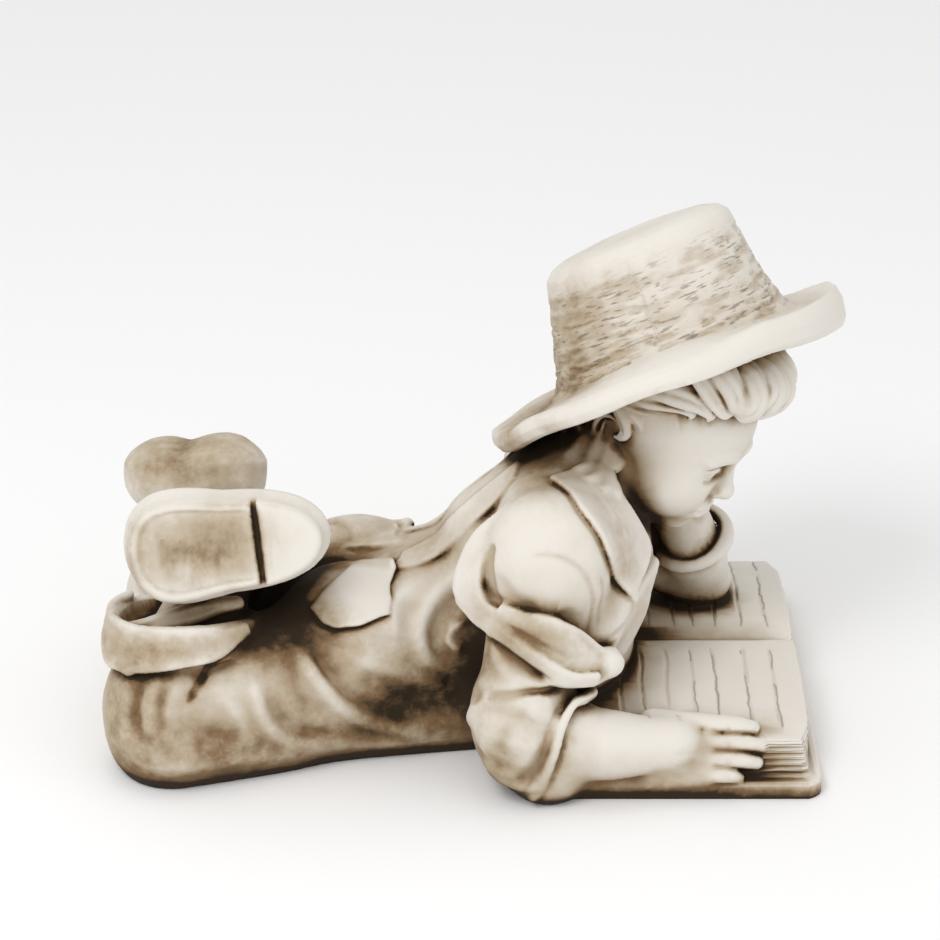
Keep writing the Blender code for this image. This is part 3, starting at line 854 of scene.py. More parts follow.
def modelFarArm():
    ball((80, 88, 176), (52, 46, 60), (-12, 10, 0), blend=10)
    elbow = (194, 90, pageTop + 18)
    limb([(84, 94, 168, 48), (140, 98, 118, 42), (*elbow, 28)], 10)
    limb([(*elbow, 27), (192, 76, 90, 27), (189, 66, 108, 28)], 8)
    hoop((187, 60, 124), (-0.33, -0.38, 0.86), 29, 6.5, 3, 0.12)
    limb([(187, 60, 118, 24), (178, 54, 142, 23), (168, 46, 162, 22)], 1.5)
    ball((166, 46, 168), (22, 24, 22), blend=6)


# Hat, turned round an axis that leans back

hatSettings = {
    "turn": (-19, -24, 0), "middle": (167, 36, 302),
    "sideLift": 16, "frontLift": 22, "frontDent": 5, "tipDent": 12.5, "frontDrop": 0.75,
    "marks": 640, "dips": 14, "seed": 5,
}


def modelHat():
    matrix = turnMatrix(hatSettings["turn"])
    middle = hatSettings["middle"]
    # height on the axis, radius, how much narrower across, and shift to the front
    profile = [
        (-10, 92), (-20, 134), (-23, 146), (-22, 152), (-16, 155.5), (-9, 154), (-5, 147), (-3, 136),
        (0, 114), (3, 106), (12, 99), (30, 94.5), (48, 91), (84, 81.5), (95, 78.5), (101.5, 72),
        (105.5, 60), (108.5, 30), (109.5, 0), (-10, 0)
    ]
    table = outlineTable([(radius, height) for height, radius in profile], margin=16)

    def liftOf(rho, angle, w):
        # how far the brim rises: at the front tip, a little at the back, and along both sides
        brim = np.clip((rho - 108) / 49, 0, 1.1)
        lift = brim**2 * (9 * np.cos(angle) ** 2 - np.sin(angle) ** 2 + 2 * np.sin(5 * angle))
        lift += brim**3 * hatSettings["frontLift"] * np.maximum(np.cos(angle), 0) ** 4
        side = np.sin(angle) ** 2 * np.interp(rho, (96, 112, 153), (1, 1, 0.95))
        return lift + hatSettings["sideLift"] * side * np.clip((70 - w) / 50, 0, 1)

    def change(field, x, y, z):
        u, v, w = toLocal(x, y, z, middle, matrix)
        rough = w - liftOf(np.sqrt(u * u + (1.13 * v) ** 2), np.arctan2(1.13 * v, u + 5), w)
        crown = np.clip((rough - 2) / 12, 0, 1)
        crown = crown * crown * (3 - 2 * crown)
        brim = np.clip((np.sqrt(u * u + v * v) - 108) / 49, 0, 1)
        brimShift = -3 - 6 * np.clip(brim * 1.4, 0, 1)
        shift = (1 - crown) * brimShift + crown * np.interp(w, (6, 60, 104), (-2.5, 2.5, 4))
        narrow = (1 - crown) * (1.1 + 0.07 * brim) + crown * 1.1
        u2, v2 = u - shift, v * narrow
        rho2 = np.sqrt(u2 * u2 + v2 * v2)
        angle = np.arctan2(v2, u2)
        dent = hatSettings["frontDent"] * np.maximum(np.cos(angle), 0) ** 2 * np.exp(-((w - 52) / 30) ** 2)
        dent += hatSettings["tipDent"] * brim * np.maximum(np.cos(angle), 0) ** 2
        wave = 1.2 * np.sin(9 * angle + 1) * np.clip((rho2 - 130) / 20, 0, 1)
        level = w - liftOf(rho2, angle, w) + wave
        # the rolled rim hangs lower at the front
        front = hatSettings["frontDrop"] * np.maximum(np.cos(angle), 0) * np.clip((rho2 - 96) / 30, 0, 1)
        level = np.where(level < -8, -8 + (level + 8) / (1 + front), level)
        return softMin(field, readTable(table, rho2 + dent, level), 4)

    reach = np.array([176, 150, 150])
    addStroke(np.array(middle) - reach, np.array(middle) + reach, change)


def onHat(angle, height, radius):
    # A place on the hat, given round its axis.
    spot = np.array((math.cos(angle) * radius, math.sin(angle) * radius / 1.1, height))
    return tuple(np.array(hatSettings["middle"]) + turnMatrix(hatSettings["turn"]) @ spot)


def modelHatMarks():
    # Chisel marks round the crown, closer together at its back and towards the viewer's left.
    random = np.random.default_rng(hatSettings["seed"])
    marks = []
    for _ in range(hatSettings["marks"]):
        angle = random.uniform(-math.pi, math.pi)
        if math.cos(angle) > 0.1 and random.random() < 0.5:
            continue
        height = random.uniform(8, 80)
        radius = np.interp(height, (3, 12, 48, 84), (106, 99, 90, 82))
        half = random.uniform(6, 17) / radius
        tilt = random.uniform(-0.05, 0.05) * radius
        spots = [onHat(angle + half * t, height + tilt * half * t, radius) for t in (-1, 0, 1)]
        marks.append((random.uniform(1.2, 2.6), random.uniform(1.1, 1.8), spots))
    for step in range(hatSettings["dips"]):
        angle = 2 * math.pi * step / hatSettings["dips"] + random.uniform(-0.15, 0.15)
        spots = [onHat(angle + random.uniform(0.08, 0.2) * t, 0, random.uniform(126, 150)) for t in (-1, 1)]
        marks.append((random.uniform(-1.6, 1.6), 7, spots))
    pressLines(marks, 2)


# Head, in its own directions: forward, left, up

headSettings = {"turn": (-6, 26, -32), "middle": (160, 20, 254)}
headMatrix = turnMatrix(headSettings["turn"])


def onHead(forward, left, up):
    spot = np.array(headSettings["middle"]) + headMatrix @ np.array((forward, left, up), float)
    return tuple(spot)


def headBall(centre, radii, blend=6, cut=False):
    ball(onHead(*centre), radii, blend=blend, cut=cut, matrix=headMatrix)


def headLimb(stations, blend=4, cut=False):
    limb([(*onHead(*s[:3]), s[3]) for s in stations], blend, cut)


def modelHead():
    headBall((-4, 0, 18), (70, 59, 66))
    headBall((18, 0, -22), (46, 49, 52), 14)
    headBall((42, 0, -64), (17, 19, 14), 12)
    for side in (-1, 1):
        headBall((33, side * 23, -30), (27, 25, 27), 14)
    headLimb([(-40, 0, -4, 50), (-52, 0, -36, 38)], 12)


faceSettings = {
    "eye": (49.5, 19, -3), "eyeRadius": 11, "lid": 1.7, "upperLid": 11.0, "lowerLid": -29.0,
    "noseTip": (69, 0, -21), "mouthHeight": -46,
}


def lidShell(centre, radius, angle, upper):
    # Part of a ball round the eye, above or below a plane turned about the eye's corners.
    spot = onHead(*centre)
    slope, rise = math.sin(math.radians(angle)), math.cos(math.radians(angle))
    reach = radius + 6

    def change(field, x, y, z):
        u, v, w = toLocal(x, y, z, spot, headMatrix)
        cap = np.sqrt(u * u + v * v + w * w) - radius
        half = (u * slope - w * rise) * (1 if upper else -1)
        edge = softMax(cap, half, 1.2)
        return softMin(field, softMax(edge, 2 - u, 2), 1.6)

    addStroke(np.array(spot) - reach, np.array(spot) + reach, change)


def headLines(lines):
    pressLines([(depth, width, [onHead(*s) for s in stations]) for depth, width, stations in lines])


def modelFace():
    f = faceSettings
    eyeF, eyeL, eyeU = f["eye"]
    for side in (-1, 1):
        headBall((65, side * 20, -1), (12, 15, 9), 9, True)
        headBall((62, side * 9, 1), (7, 6, 7), 7, True)
    # brow, bridge, nose and its wings
    for side in (-1, 1):
        headLimb([(55, side * 31, 9, 3), (60.5, side * 18, 14, 3.4), (61, side * 7, 11, 3.4)], 10)
    headLimb([(57, 0, 10, 7), (60, 0, 0, 6), (65, 0, -11, 6.5), (68.5, 0, -19, 7.5)], 6)
    headBall(f["noseTip"], (8.5, 8.5, 7.5), 4)
    for side in (-1, 1):
        headBall((63.5, side * 7.5, -24.5), (6.5, 5, 5), 3)
        headBall((67.5, side * 4.2, -29.5), (4, 2.3, 2.6), 1.5, True)
    headLines([
        (1.4, 2.2, [(70, side * 12.5, -19), (66, side * 13, -25), (62, side * 11, -29)])
        for side in (-1, 1)
    ])
    # mouth: a soft muzzle, two lips and the line between them
    m = f["mouthHeight"]
    headBall((50, 0, m + 1), (15, 22, 15), 9)
    upper = [
        (64, -14, m + 1.6), (67, -7, m + 4.2), (68, -2.5, m + 4.4), (68, 0, m + 3.6), (68, 2.5, m + 4.4),
        (67, 7, m + 4.2), (64, 14, m + 1.6)
    ]
    headLines([
        (-2.6, 3.0, upper),
        (-3.2, 3.6, [(64, -12, m - 2.6), (67, -5, m - 5.4), (67, 5, m - 5.4), (64, 12, m - 2.6)])
    ])
    headLines([(
        3.2, 1.35,
        [
            (62, -17, m + 1.8), (66, -9, m - 0.2), (68, -3, m - 0.6), (68, 0, m - 1.2), (68, 3, m - 0.6),
            (66, 9, m - 0.2), (62, 17, m + 1.8)
        ]
    )])
    headLines([
        (2.0, 4.5, [(64, -10, m - 12), (66, 0, m - 12.5), (64, 10, m - 12)]),
        (1.3, 2.4, [(68, 0, m + 14), (68, 0, m + 8)])
    ])
    headLines([(1.4, 2.4, [(60, side * 18.5, m + 3.5), (60, side * 19, m - 1)]) for side in (-1, 1)])
    # eyes: ball, lids, an incised ring and a drilled pupil
    for side in (-1, 1):
        centre = (eyeF, side * eyeL, eyeU)
        headBall(centre, (f["eyeRadius"],) * 3, 1)
        lidShell(centre, f["eyeRadius"] + f["lid"], f["upperLid"], True)
        lidShell(centre, f["eyeRadius"] + f["lid"], f["lowerLid"], False)
        headBall((48, side * 30.5, -4), (6.5, 6.5, 8), 5)
        headBall((55, side * 8.5, -4), (4.5, 3.6, 6), 3)
        gaze = headMatrix @ np.array((math.cos(0.2), 0, -math.sin(0.2)))
        spot = np.array(onHead(*centre)) + gaze * (f["eyeRadius"] - 0.4)
        ring = []
        for step in range(17):
            angle = 2 * math.pi * step / 16
            u, w = math.cos(angle) * 4.1, math.sin(angle) * 4.1
            ring.append((eyeF + 10.2 + 0.18 * w, side * eyeL + u, eyeU - 2.2 + w))
        headLines([(0.8, 0.9, ring)])
        ball(spot, (2.4, 1.7, 1.7), blend=0.6, cut=True, matrix=headMatrix)
        lid = [(55, side * (eyeL + s), 6.5 - 0.045 * s * s) for s in (-11, -6, 0, 6, 11)]
        under = [(56, side * (eyeL + s), -14 + 0.03 * s * s) for s in (-10, -5, 0, 5, 10)]
        headLines([(1.3, 1.3, lid), (0.8, 2.2, under)])
        headLines([(-1.0, 3.0, [(66, side * 8, 13), (66, side * 17, 17), (58, side * 30, 13)])])
        browHairs = []
        rises = ((1.2, 1), (2.2, 2), (2.6, 2.2), (2.4, 1.6), (1.6, 0.6), (0.4, -1))  # of each root and tip
        for hair, (root, tip) in enumerate(rises):
            inner, outer = side * (9 + 3.2 * hair), side * (12 + 3.2 * hair)
            browHairs.append((0.5, 0.9, [(66, inner, 13 + root), (66, outer, 16 + tip)]))
        headLines(browHairs)


earSettings = {"middle": (-25, 49.5, -13), "rim": 2.7}


def modelEar(side):
    f, l, u = earSettings["middle"]
    rim = earSettings["rim"]
    headBall((f, side * (l - 3), u), (11, 6, 17), 4)
    headLimb([
        (f + 8, side * (l + 1), u + 3, rim - 0.5), (f + 7, side * (l + 4), u + 12, rim),
        (f - 1, side * (l + 6), u + 16, rim), (f - 10, side * (l + 6), u + 11, rim),
        (f - 12, side * (l + 4), u, rim), (f - 9, side * (l + 2), u - 10, rim),
        (f - 3, side * l, u - 17, rim + 0.6)
    ], 1.5)
    headBall((f, side * (l - 1), u - 17), (5.5, 4, 6.5), 2.5)
    headBall((f - 1, side * (l + 6), u + 1), (6.5, 4.5, 9.5), 2, True)
    headLimb([
        (f - 7, side * (l + 2.5), u + 8, 1.5), (f - 5.5, side * (l + 2.2), u - 1, 1.7),
        (f - 2, side * (l + 1), u - 9, 1.5)
    ], 1)
    headBall((f + 7, side * (l + 0.5), u - 2), (2.6, 2.6, 4), 2)


# Locks of hair: stations of forward, left, up and half width, for one side

lockSettings = {"strands": 3, "spread": 0.72, "sink": 0.22, "thick": 0.60, "blend": 0.9}
frontLocks = [
    [
        (26, -8, 92, 10), (50, -8, 94, 11), (66, -12, 86, 9), (68, -18, 73, 7), (61, -20, 62, 5),
        (54, -16, 61, 2.5)
    ],
    [(24, 8, 92, 10), (50, 8, 94, 11), (68, 6, 85, 9), (71, 2, 72, 7), (65, -3, 62, 4.5), (60, -8, 65, 2)],
    [
        (22, -26, 90, 10), (44, -28, 92, 10), (60, -30, 82, 8), (63, -33, 70, 6), (56, -34, 60, 4),
        (50, -29, 59, 2)
    ],
    [
        (24, 26, 90, 10), (46, 26, 92, 10), (60, 28, 84, 8), (64, 24, 71, 6.5), (60, 19, 61, 4),
        (64, 13, 57, 2)
    ],
    [(40, -2, 84, 8), (58, -4, 78, 8), (64, 2, 66, 6), (61, 8, 56, 4), (63, 13, 51, 1.5)],
]
sideLocks = [
    [
        (8, -40, 92, 8), (26, -46, 90, 10), (40, -46, 84, 8.5), (48, -42, 75, 7), (50, -38, 66, 4.5),
        (46, -38, 60, 2)
    ],
    [
        (0, -47, 84, 8), (16, -53, 80, 9), (30, -52, 73, 8), (40, -48, 66, 6), (46, -43, 60, 4),
        (49, -38, 60, 1.5)
    ],
    [
        (-40, -58, 40, 6), (-20, -63, 48, 9), (-2, -62, 56, 10), (14, -59, 60, 9), (28, -54, 60, 6.5),
        (38, -49, 54, 3.5), (38, -47, 47, 1.2)
    ],
    [
        (-46, -58, 30, 6), (-28, -63, 36, 8), (-12, -63, 40, 8.5), (2, -60, 46, 7.5), (15, -57, 50, 5.5),
        (25, -53, 47, 3), (26, -51, 41, 1.2)
    ],
    [
        (-48, -56, 22, 5), (-36, -61, 26, 6.5), (-22, -62, 27, 7), (-9, -60, 30, 6), (2, -58, 34, 4),
        (10, -56, 32, 1.5)
    ],
    [
        (-38, -58, 20, 5), (-27, -61, 15, 6), (-17, -60, 8, 5.5), (-11, -58, -1, 4.2), (-13, -56, -9, 2.5),
        (-18, -55, -12, 1)
    ],
    [(-26, -60, 22, 4), (-16, -61, 18, 5), (-6, -59, 14, 4), (-1, -57, 8, 2.2), (-4, -56, 3, 1)],
    [
        (-46, -56, 16, 6), (-53, -56, 4, 7), (-56, -55, -10, 7), (-52, -53, -24, 5), (-45, -51, -31, 2.2),
        (-41, -51, -28, 1)
    ],
    [
        (-56, -50, 14, 7), (-64, -50, 0, 8), (-67, -49, -16, 7.5), (-64, -49, -32, 6), (-56, -48, -43, 3.5),
        (-50, -48, -43, 1.2)
    ],
]
napeLocks = [
    [
        (-66, -38, 16, 7), (-76, -36, 0, 8), (-79, -34, -18, 7.5), (-76, -34, -34, 6), (-67, -36, -46, 4),
        (-61, -38, -46, 1.5)
    ],
    [
        (-70, -20, 16, 8), (-82, -20, -2, 8.5), (-86, -18, -20, 8), (-82, -16, -36, 6), (-74, -18, -48, 4),
        (-70, -22, -48, 1.5)
    ],
    [
        (-72, 0, 16, 8), (-84, 1, -2, 8.5), (-89, 2, -20, 8), (-86, 0, -36, 6.5), (-78, -3, -50, 4),
        (-73, -6, -49, 1.5)
    ],
]


neckTufts = [
    [(106, -4, 256), (99, -18, 247), (92, -32, 240), (84, -41, 240)],
    [(112, -12, 252), (107, -28, 242), (100, -43, 234), (93, -51, 235)],
    [(116, -20, 248), (114, -35, 237), (110, -49, 228), (103, -58, 228)],
    [(99, 6, 258), (90, -5, 252), (82, -17, 247), (75, -23, 247)],
    [(119, -28, 244), (119, -42, 231), (118, -54, 222)],
]


def lock(stations, side=1):
    # A lock of hair: a few strands side by side along a smooth path on the head.
    spots = smoothPath([(s[0], s[1] * side, s[2], s[3]) for s in stations], 4)
    away = spots[:, :3] - np.array((-8, 0, 22))
    away /= np.linalg.norm(away, axis=1)[:, None]
    along = np.gradient(spots[:, :3], axis=0)
    across = np.cross(along, away)
    across /= np.linalg.norm(across, axis=1)[:, None]
    count = lockSettings["strands"]
    for strand in range(count):
        share = (strand - (count - 1) / 2) / ((count - 1) / 2)
        sway = 0.12 * np.sin(np.linspace(0, 5, len(spots)) + 2 * strand)
        beside = ((share * lockSettings["spread"] + sway) * spots[:, 3])[:, None]
        inward = (abs(share) * lockSettings["sink"] * spots[:, 3])[:, None]
        offset = across * beside - away * inward
        places = np.array([onHead(*p) for p in spots[:, :3] + offset])
        radius = np.maximum(spots[:, 3] * lockSettings["thick"], 0.7)
        limb(np.column_stack([places, radius]), lockSettings["blend"], curved=False)


def modelHair():
    headBall((-14, 0, 30), (70, 62, 66), 1.5)
    headBall((24, 0, 70), (36, 44, 26), 4)
    headBall((-44, 0, -6), (34, 50, 42), 3)
    for stations in frontLocks:
        lock(stations)
    for side in (1, -1):
        for stations in sideLocks:
            lock(stations, side)
    for stations in napeLocks:
        lock(stations)
    for stations in napeLocks[:2]:
        lock(stations, -1)
    ball((210, -43, 300), (11, 11, 12), blend=3)
    headBall((-34, -56, 2), (8, 8, 9), 3, True)
    modelEar(-1)
    modelEar(1)
    tufts = [(-5.5, 4.2, spots) for spots in neckTufts]
    tufts += [(1.6, 1.1, [(x + 1.5, y + 1, z) for x, y, z in spots]) for spots in neckTufts]
    tufts += [(1.6, 1.1, [(x - 2, y - 1.5, z) for x, y, z in spots]) for spots in neckTufts]
    pressLines(bothSides(tufts, 16))


# The open book

bookSettings = {"thick": 15, "length": 222, "width": 330, "margin": 9, "pages": 36, "valley": 11, "slope": 10,
                "front": 280, "middle": 16, "corner": 14, "pageCorner": 8}


def modelBook():
    b = bookSettings
    centreX, centreY = b["front"] - b["length"] / 2, b["middle"]

    def slab(x, y, halfX, halfY, corner):
        dx = np.abs(x - centreX) - halfX + corner
        dy = np.abs(y - centreY) - halfY + corner
        outside = np.sqrt(np.maximum(dx, 0) ** 2 + np.maximum(dy, 0) ** 2)
        return outside + np.minimum(np.maximum(dx, dy), 0) - corner

    def change(field, x, y, z):
        cover = softMax(slab(x, y, b["length"] / 2, b["width"] / 2, b["corner"]), z - b["thick"], 3)
        half = b["width"] / 2 - b["margin"]
        share = np.abs(y - centreY) / (half - b["slope"])
        swell = np.sin(math.pi * np.clip(share, 0, 1) ** 0.45) * 0.10 * b["pages"]
        gutter = np.where(y < centreY, 0.055, 0.22)
        drop = b["valley"] * (1 - np.clip(share / gutter, 0, 1)) ** 2 + 0.18 * b["pages"] * share**3
        top = b["thick"] + b["pages"] - drop + swell
        lean = b["slope"] / b["pages"]
        sides = slab(x, y, b["length"] / 2 - b["margin"], half, b["pageCorner"])
        outer = np.clip((np.abs(y - centreY) - half + 34) / 26, 0, 1)
        sides = sides + np.clip(z - b["thick"], 0, None) * lean * outer
        ripple = (z + 0.9 * np.sin(x / 23) + 0.7 * np.sin(y / 17)) * 1.25
        leaves = 0.9 * np.sin(ripple) * np.clip((top - z) / 5, 0, 1)
        pages = softMax(sides + 0.6 + leaves, z - top, 2)
        return softMin(field, softMin(cover, pages, 1.5), 2)

    low = (centreX - b["length"] / 2 - 10, centreY - b["width"] / 2 - 10, -10)
    high = (centreX + b["length"] / 2 + 10, centreY + b["width"] / 2 + 10, 70)
    addStroke(low, high, change)


pageLines = {
    "near": (122, 140, 161, 182, 200, 225, 248), "far": (132, 150, 171, 188, 207, 229, 250), "seed": 11,
    "start": 110.0, "reach": 160.0,  # where the rows' colour begins, and how far it runs
    "sides": (("near", -62.0, 52.0), ("far", 102.0, 66.0)),  # page, middle of its rows and half their length
}


def modelPageLines():
    # Rows of shallow wavy strokes in place of writing, and soft dips and rises in the pages.
    random = np.random.default_rng(pageLines["seed"])
    lines = []
    for name, start, finish in (("near", -2, -136), ("far", 36, 168)):
        for x in pageLines[name]:
            y = start
            way = 1 if finish > start else -1
            while (finish - y) * way > 12:
                long = random.uniform(36, 120)
                stop = y + way * min(long, (finish - y) * way)
                spots = [(x + random.uniform(-1.6, 1.6), v, pageTop) for v in np.linspace(y, stop, 5)]
                lines.append((random.uniform(1.0, 1.7), random.uniform(1.0, 1.4), spots))
                y = stop + way * random.uniform(0, 5)
    pressLines(lines)
    dips = []
    for _ in range(14):
        x, y = random.uniform(110, 262), random.uniform(-120, 160)
        dips.append((
            random.uniform(-0.8, 0.8), 9,
            [(x, y, pageTop), (x + random.uniform(-12, 12), y + random.uniform(-22, 22), pageTop)]
        ))
    pressLines(dips)


def trimFlat():
    # Everything below the ground is taken away.
    def change(field, x, y, z):
        return softMax(field, -z, 1.0)

    addStroke((-400, -400, -40), (400, 400, 8), change)


def modelCasting():
    modelTrousers()
    modelLowerLegs()
    modelShirt()
    modelChest()
    modelHead()
    modelNearArm()
    modelNearHand()
    modelFarArm()
    modelFarHand()
    modelStraps()
    modelPockets()
    modelTrouserFolds()
    modelShoe(shoeSettings["near"])
    modelShoe(shoeSettings["far"])
    fillFarShoe()
    modelSoleMarks()
    modelNearSleeve()
    modelCollar()
    detailNearHand()
    modelFace()
    modelHair()
    modelHat()
    modelHatMarks()
    modelBook()
    modelPageLines()
    trimFlat()
    report(f"{len(strokes)} strokes of clay")


# Patina and painted shade: how far each point lies in a hollow, in a crease or on an edge

patinaAndShadeSettings = {
    "step": 4.0,  # of the coarse grid that hollows are read from, in mm
    "ground": 0.6,  # how solid the ground counts
    "hollows": ((8, 0.8), (16, 0.7), (32, 0.5)),  # reach and weight
    "creases": ((1.5, 0.7), (3.5, 0.7), (7.0, 0.4)),  # distance and weight
    "edgeDepth": 3.0, "groundDarkening": 0.6, "groundDarkeningHeight": 10, "moss": 0.5, "crownRadius": 92,
    # lighter round the eyes and the mouth, taking back some of the painted shade that the hollows and creases
    # put there
    "faceLighter": [((56, -20, -5), (15, 15, 13), -0.5), ((62, 0, -44), (16, 22, 14), -0.45)],
    "stainsAndShade": [  # middle, reach and strength of the darker patches: stains, and painted shade under the belly, between the legs, in the trouser slit, on the nape under the hat's brim and along the book's cover and gutter; the last ones are lighter patches
        # round the legs, seat and belly
        ((-146, -80, 116), (50, 38, 26), 1.6), ((-138, -34, 132), (34, 34, 26), 1.3),
        ((-183, 4, 98), (50, 48, 46), 1.4),
        ((-206, -56, 130), (46, 26, 16), 0.7), ((-204, -134, 50), (34, 26, 20), 0.6),
        ((-140, -118, 66), (26, 24, 24), 0.45),
        ((-52, -92, 56), (50, 30, 38), 1.15), ((-6, -84, 56), (36, 30, 50), 0.9),
        ((-20, 92, 60), (90, 50, 50), 0.5),
        ((-105, -104, 34), (60, 26, 18), 0.5), ((-262, -124, 60), (36, 40, 60), 1.0),
        ((-180, -130, 28), (90, 24, 16), 0.8),
        ((-92, 40, 136), (40, 34, 16), 0.5), ((-112, -6, 138), (24, 30, 22), 0.9),
        ((-286, -60, 110), (16, 60, 30), 0.5), ((-228, 46, 204), (74, 60, 26), 0.95),
        ((-206, -110, 204), (34, 12, 26), 0.30), ((-262, -104, 190), (16, 14, 40), 0.3),
        ((-240, -120, 118), (50, 18, 18), 0.5),
        # painted shade in the slit pressed into the near trouser leg
        ((-203, -117, 106), (5, 7, 5), 1.5), ((-212, -122, 94), (5, 7, 5), 1.5),
        ((-219, -128, 84), (4, 7, 5), 1.2),
        ((-245, -110, 200), (46, 14, 40), 0.3), ((-184, -104, 200), (30, 16, 34), 0.3),
        # back, neck and chest
        ((-30, -10, 160), (40, 30, 24), 0.35), ((70, 30, 250), (60, 80, 30), 0.6),
        ((132, 10, 130), (40, 50, 56), 0.7), ((40, 70, 290), (60, 60, 30), 0.4),
        ((120, -70, 190), (20, 30, 34), 0.25),
        # sleeve
        ((60, -138, 140), (40, 16, 16), 0.7), ((30, -152, 58), (40, 30, 36), 0.25),
        ((100, -118, 86), (24, 22, 20), 0.9), ((8, -124, 110), (18, 26, 22), 0.5),
        ((24, -152, 26), (34, 30, 26), 0.55), ((0, -84, 116), (24, 24, 34), 0.8),
        ((60, -60, 236), (26, 34, 14), 0.35), ((114, -92, 198), (22, 20, 36), 0.3),
        # book
        ((180, -150, 6), (110, 13, 12), 0.6), ((170, 26, 50), (70, 13, 16), 0.3),
        ((205, 95, 52), (60, 50, 14), -0.5),
        # hat
        ((82, -6, 335), (26, 60, 50), 0.35), ((24, -30, 262), (26, 30, 18), 0.6),
        ((60, -66, 286), (30, 12, 8), 0.3), ((100, -40, 300), (40, 40, 20), 0.3),
        # lighter patches
        ((210, -60, 52), (70, 60, 12), -0.35), ((120, -142, 72), (60, 24, 22), -0.4),
        ((-90, -54, 140), (30, 26, 20), -0.8), ((186, -40, 244), (40, 26, 36), -0.45),
        ((52, -112, 204), (30, 30, 26), -0.3), ((100, -56, 256), (44, 30, 18), -0.4),
    ],
}


def blurred(grid, reach):
    # Three box blurs along each axis stand in for a soft round one.
    half = max(1, int(round(reach / 1.7)))
    for axis in range(3):
        for _ in range(3):
            pad = [(half + 1, half) if i == axis else (0, 0) for i in range(3)]
            total = np.cumsum(np.pad(grid, pad, mode="edge"), axis=axis, dtype=np.float32)
            size = total.shape[axis]
            grid = (
                np.take(total, range(2 * half + 1, size), axis=axis)
                - np.take(total, range(size - 2 * half - 1), axis=axis)
            ) / (2 * half + 1)
    return grid


def readGrid(grid, low, step, points):
    # The grid's value at each point, from the eight grid points round it.
    spots = (points - low) / step
    spots = np.clip(spots, 0, np.array(grid.shape) - 1.001)
    i = spots.astype(int)
    f = spots - i
    total = 0
    for corner in np.ndindex(2, 2, 2):
        weight = np.prod([f[:, a] if corner[a] else 1 - f[:, a] for a in range(3)], axis=0)
        total = total + weight * grid[i[:, 0] + corner[0], i[:, 1] + corner[1], i[:, 2] + corner[2]]
    return total


def patinaAndShadeValues(field, axes, points, normals):
    step = patinaAndShadeSettings["step"]
    low = np.array([axis[0] for axis in axes]) - 40
    count = [int((axis[-1] + 40 - start) / step) for axis, start in zip(axes, low)]
    ticks = [low[i] + step * np.arange(count[i]) for i in range(3)]
    near = [np.clip(np.searchsorted(axes[i], ticks[i]), 0, len(axes[i]) - 1) for i in range(3)]
    solid = (field[np.ix_(*near)] < 0).astype(np.float32)
    for i in range(3):
        outside = (ticks[i] < axes[i][0]) | (ticks[i] > axes[i][-1])
        solid[tuple(outside if j == i else slice(None) for j in range(3))] = 0
    solid[:, :, ticks[2] < 0] = patinaAndShadeSettings["ground"]
    # hollow: how much solid, the ground counted in, lies a little way out along each point's normal; this
    # paints shade into hollows and under parts, together with the dirt they hold. bulge: how little solid
    # lies round the point itself.
    hollow = np.zeros(len(points))
    bulge = np.zeros(len(points))
    for reach, weight in patinaAndShadeSettings["hollows"]:
        soft = blurred(solid, reach / step)
        value = readGrid(soft, low, step, points + normals * reach)
        hollow += weight * np.clip((value - 0.13) / 0.45, 0, 1)
        bulge += (0.5 - readGrid(soft, low, step, points)) / 0.3 * weight / 2
    # crease: how near the surface comes again just in front of each point; this paints shade into creases,
    # together with their dirt.
    crease = np.zeros(len(points))
    for distance, weight in patinaAndShadeSettings["creases"]:
        room = fieldAtPoints(points + normals * distance)
        crease += weight * np.clip(1 - room / distance, 0, 1)
    edgeDepth = patinaAndShadeSettings["edgeDepth"]
    inside = fieldAtPoints(points - normals * edgeDepth)
    edge = np.clip(1 + inside / edgeDepth, 0, 1)
    # darker patches, partly stains and partly painted shade under and between parts, and some lighter patches
    stain = np.zeros(len(points))
    faceLighterSpots = [(onHead(*place), reach, strength) for place, reach, strength in patinaAndShadeSettings["faceLighter"]]
    for middle, reach, strength in patinaAndShadeSettings["stainsAndShade"] + faceLighterSpots:
        gap = (((points - np.array(middle)) / np.array(reach)) ** 2).sum(axis=1)
        stain += strength * np.exp(-gap)
    above = np.maximum(points[:, 2], 0) / patinaAndShadeSettings["groundDarkeningHeight"]
    stain += patinaAndShadeSettings["groundDarkening"] * np.exp(-above**2)  # darker towards the ground
    # moss in the book's fold
    spine = np.exp(-((points[:, 1] - 16) / 5) ** 2) * np.exp(-((points[:, 0] - 190) / 70) ** 2)
    moss = patinaAndShadeSettings["moss"] * spine * (points[:, 2] < 56) * (normals[:, 2] > 0.4)
    # the way round the hat's crown, nought on its far side, and where the crown's wall is
    u, v, w = toLocal(*points.T, hatSettings["middle"], turnMatrix(hatSettings["turn"]))
    turned = np.arctan2(-u, 1.1 * v)
    far = np.sqrt(u * u + (1.1 * v) ** 2)
    crown = np.clip((w - 5) / 8, 0, 1) * np.clip((88 - w) / 14, 0, 1)
    crown = crown * np.clip((112 - far) / 8, 0, 1) * np.clip((far - 70) / 8, 0, 1)
    return {
        "round": patinaAndShadeSettings["crownRadius"] * turned, "rise": w, "crown": crown, "moss": moss,
        "hollow": np.clip(hollow, 0, 1.6), "crease": np.clip(crease, 0, 1.5), "edge": edge,
        "bulge": np.clip(bulge, -0.6, 1), "stain": np.clip(stain, -0.5, 1.6)
    }


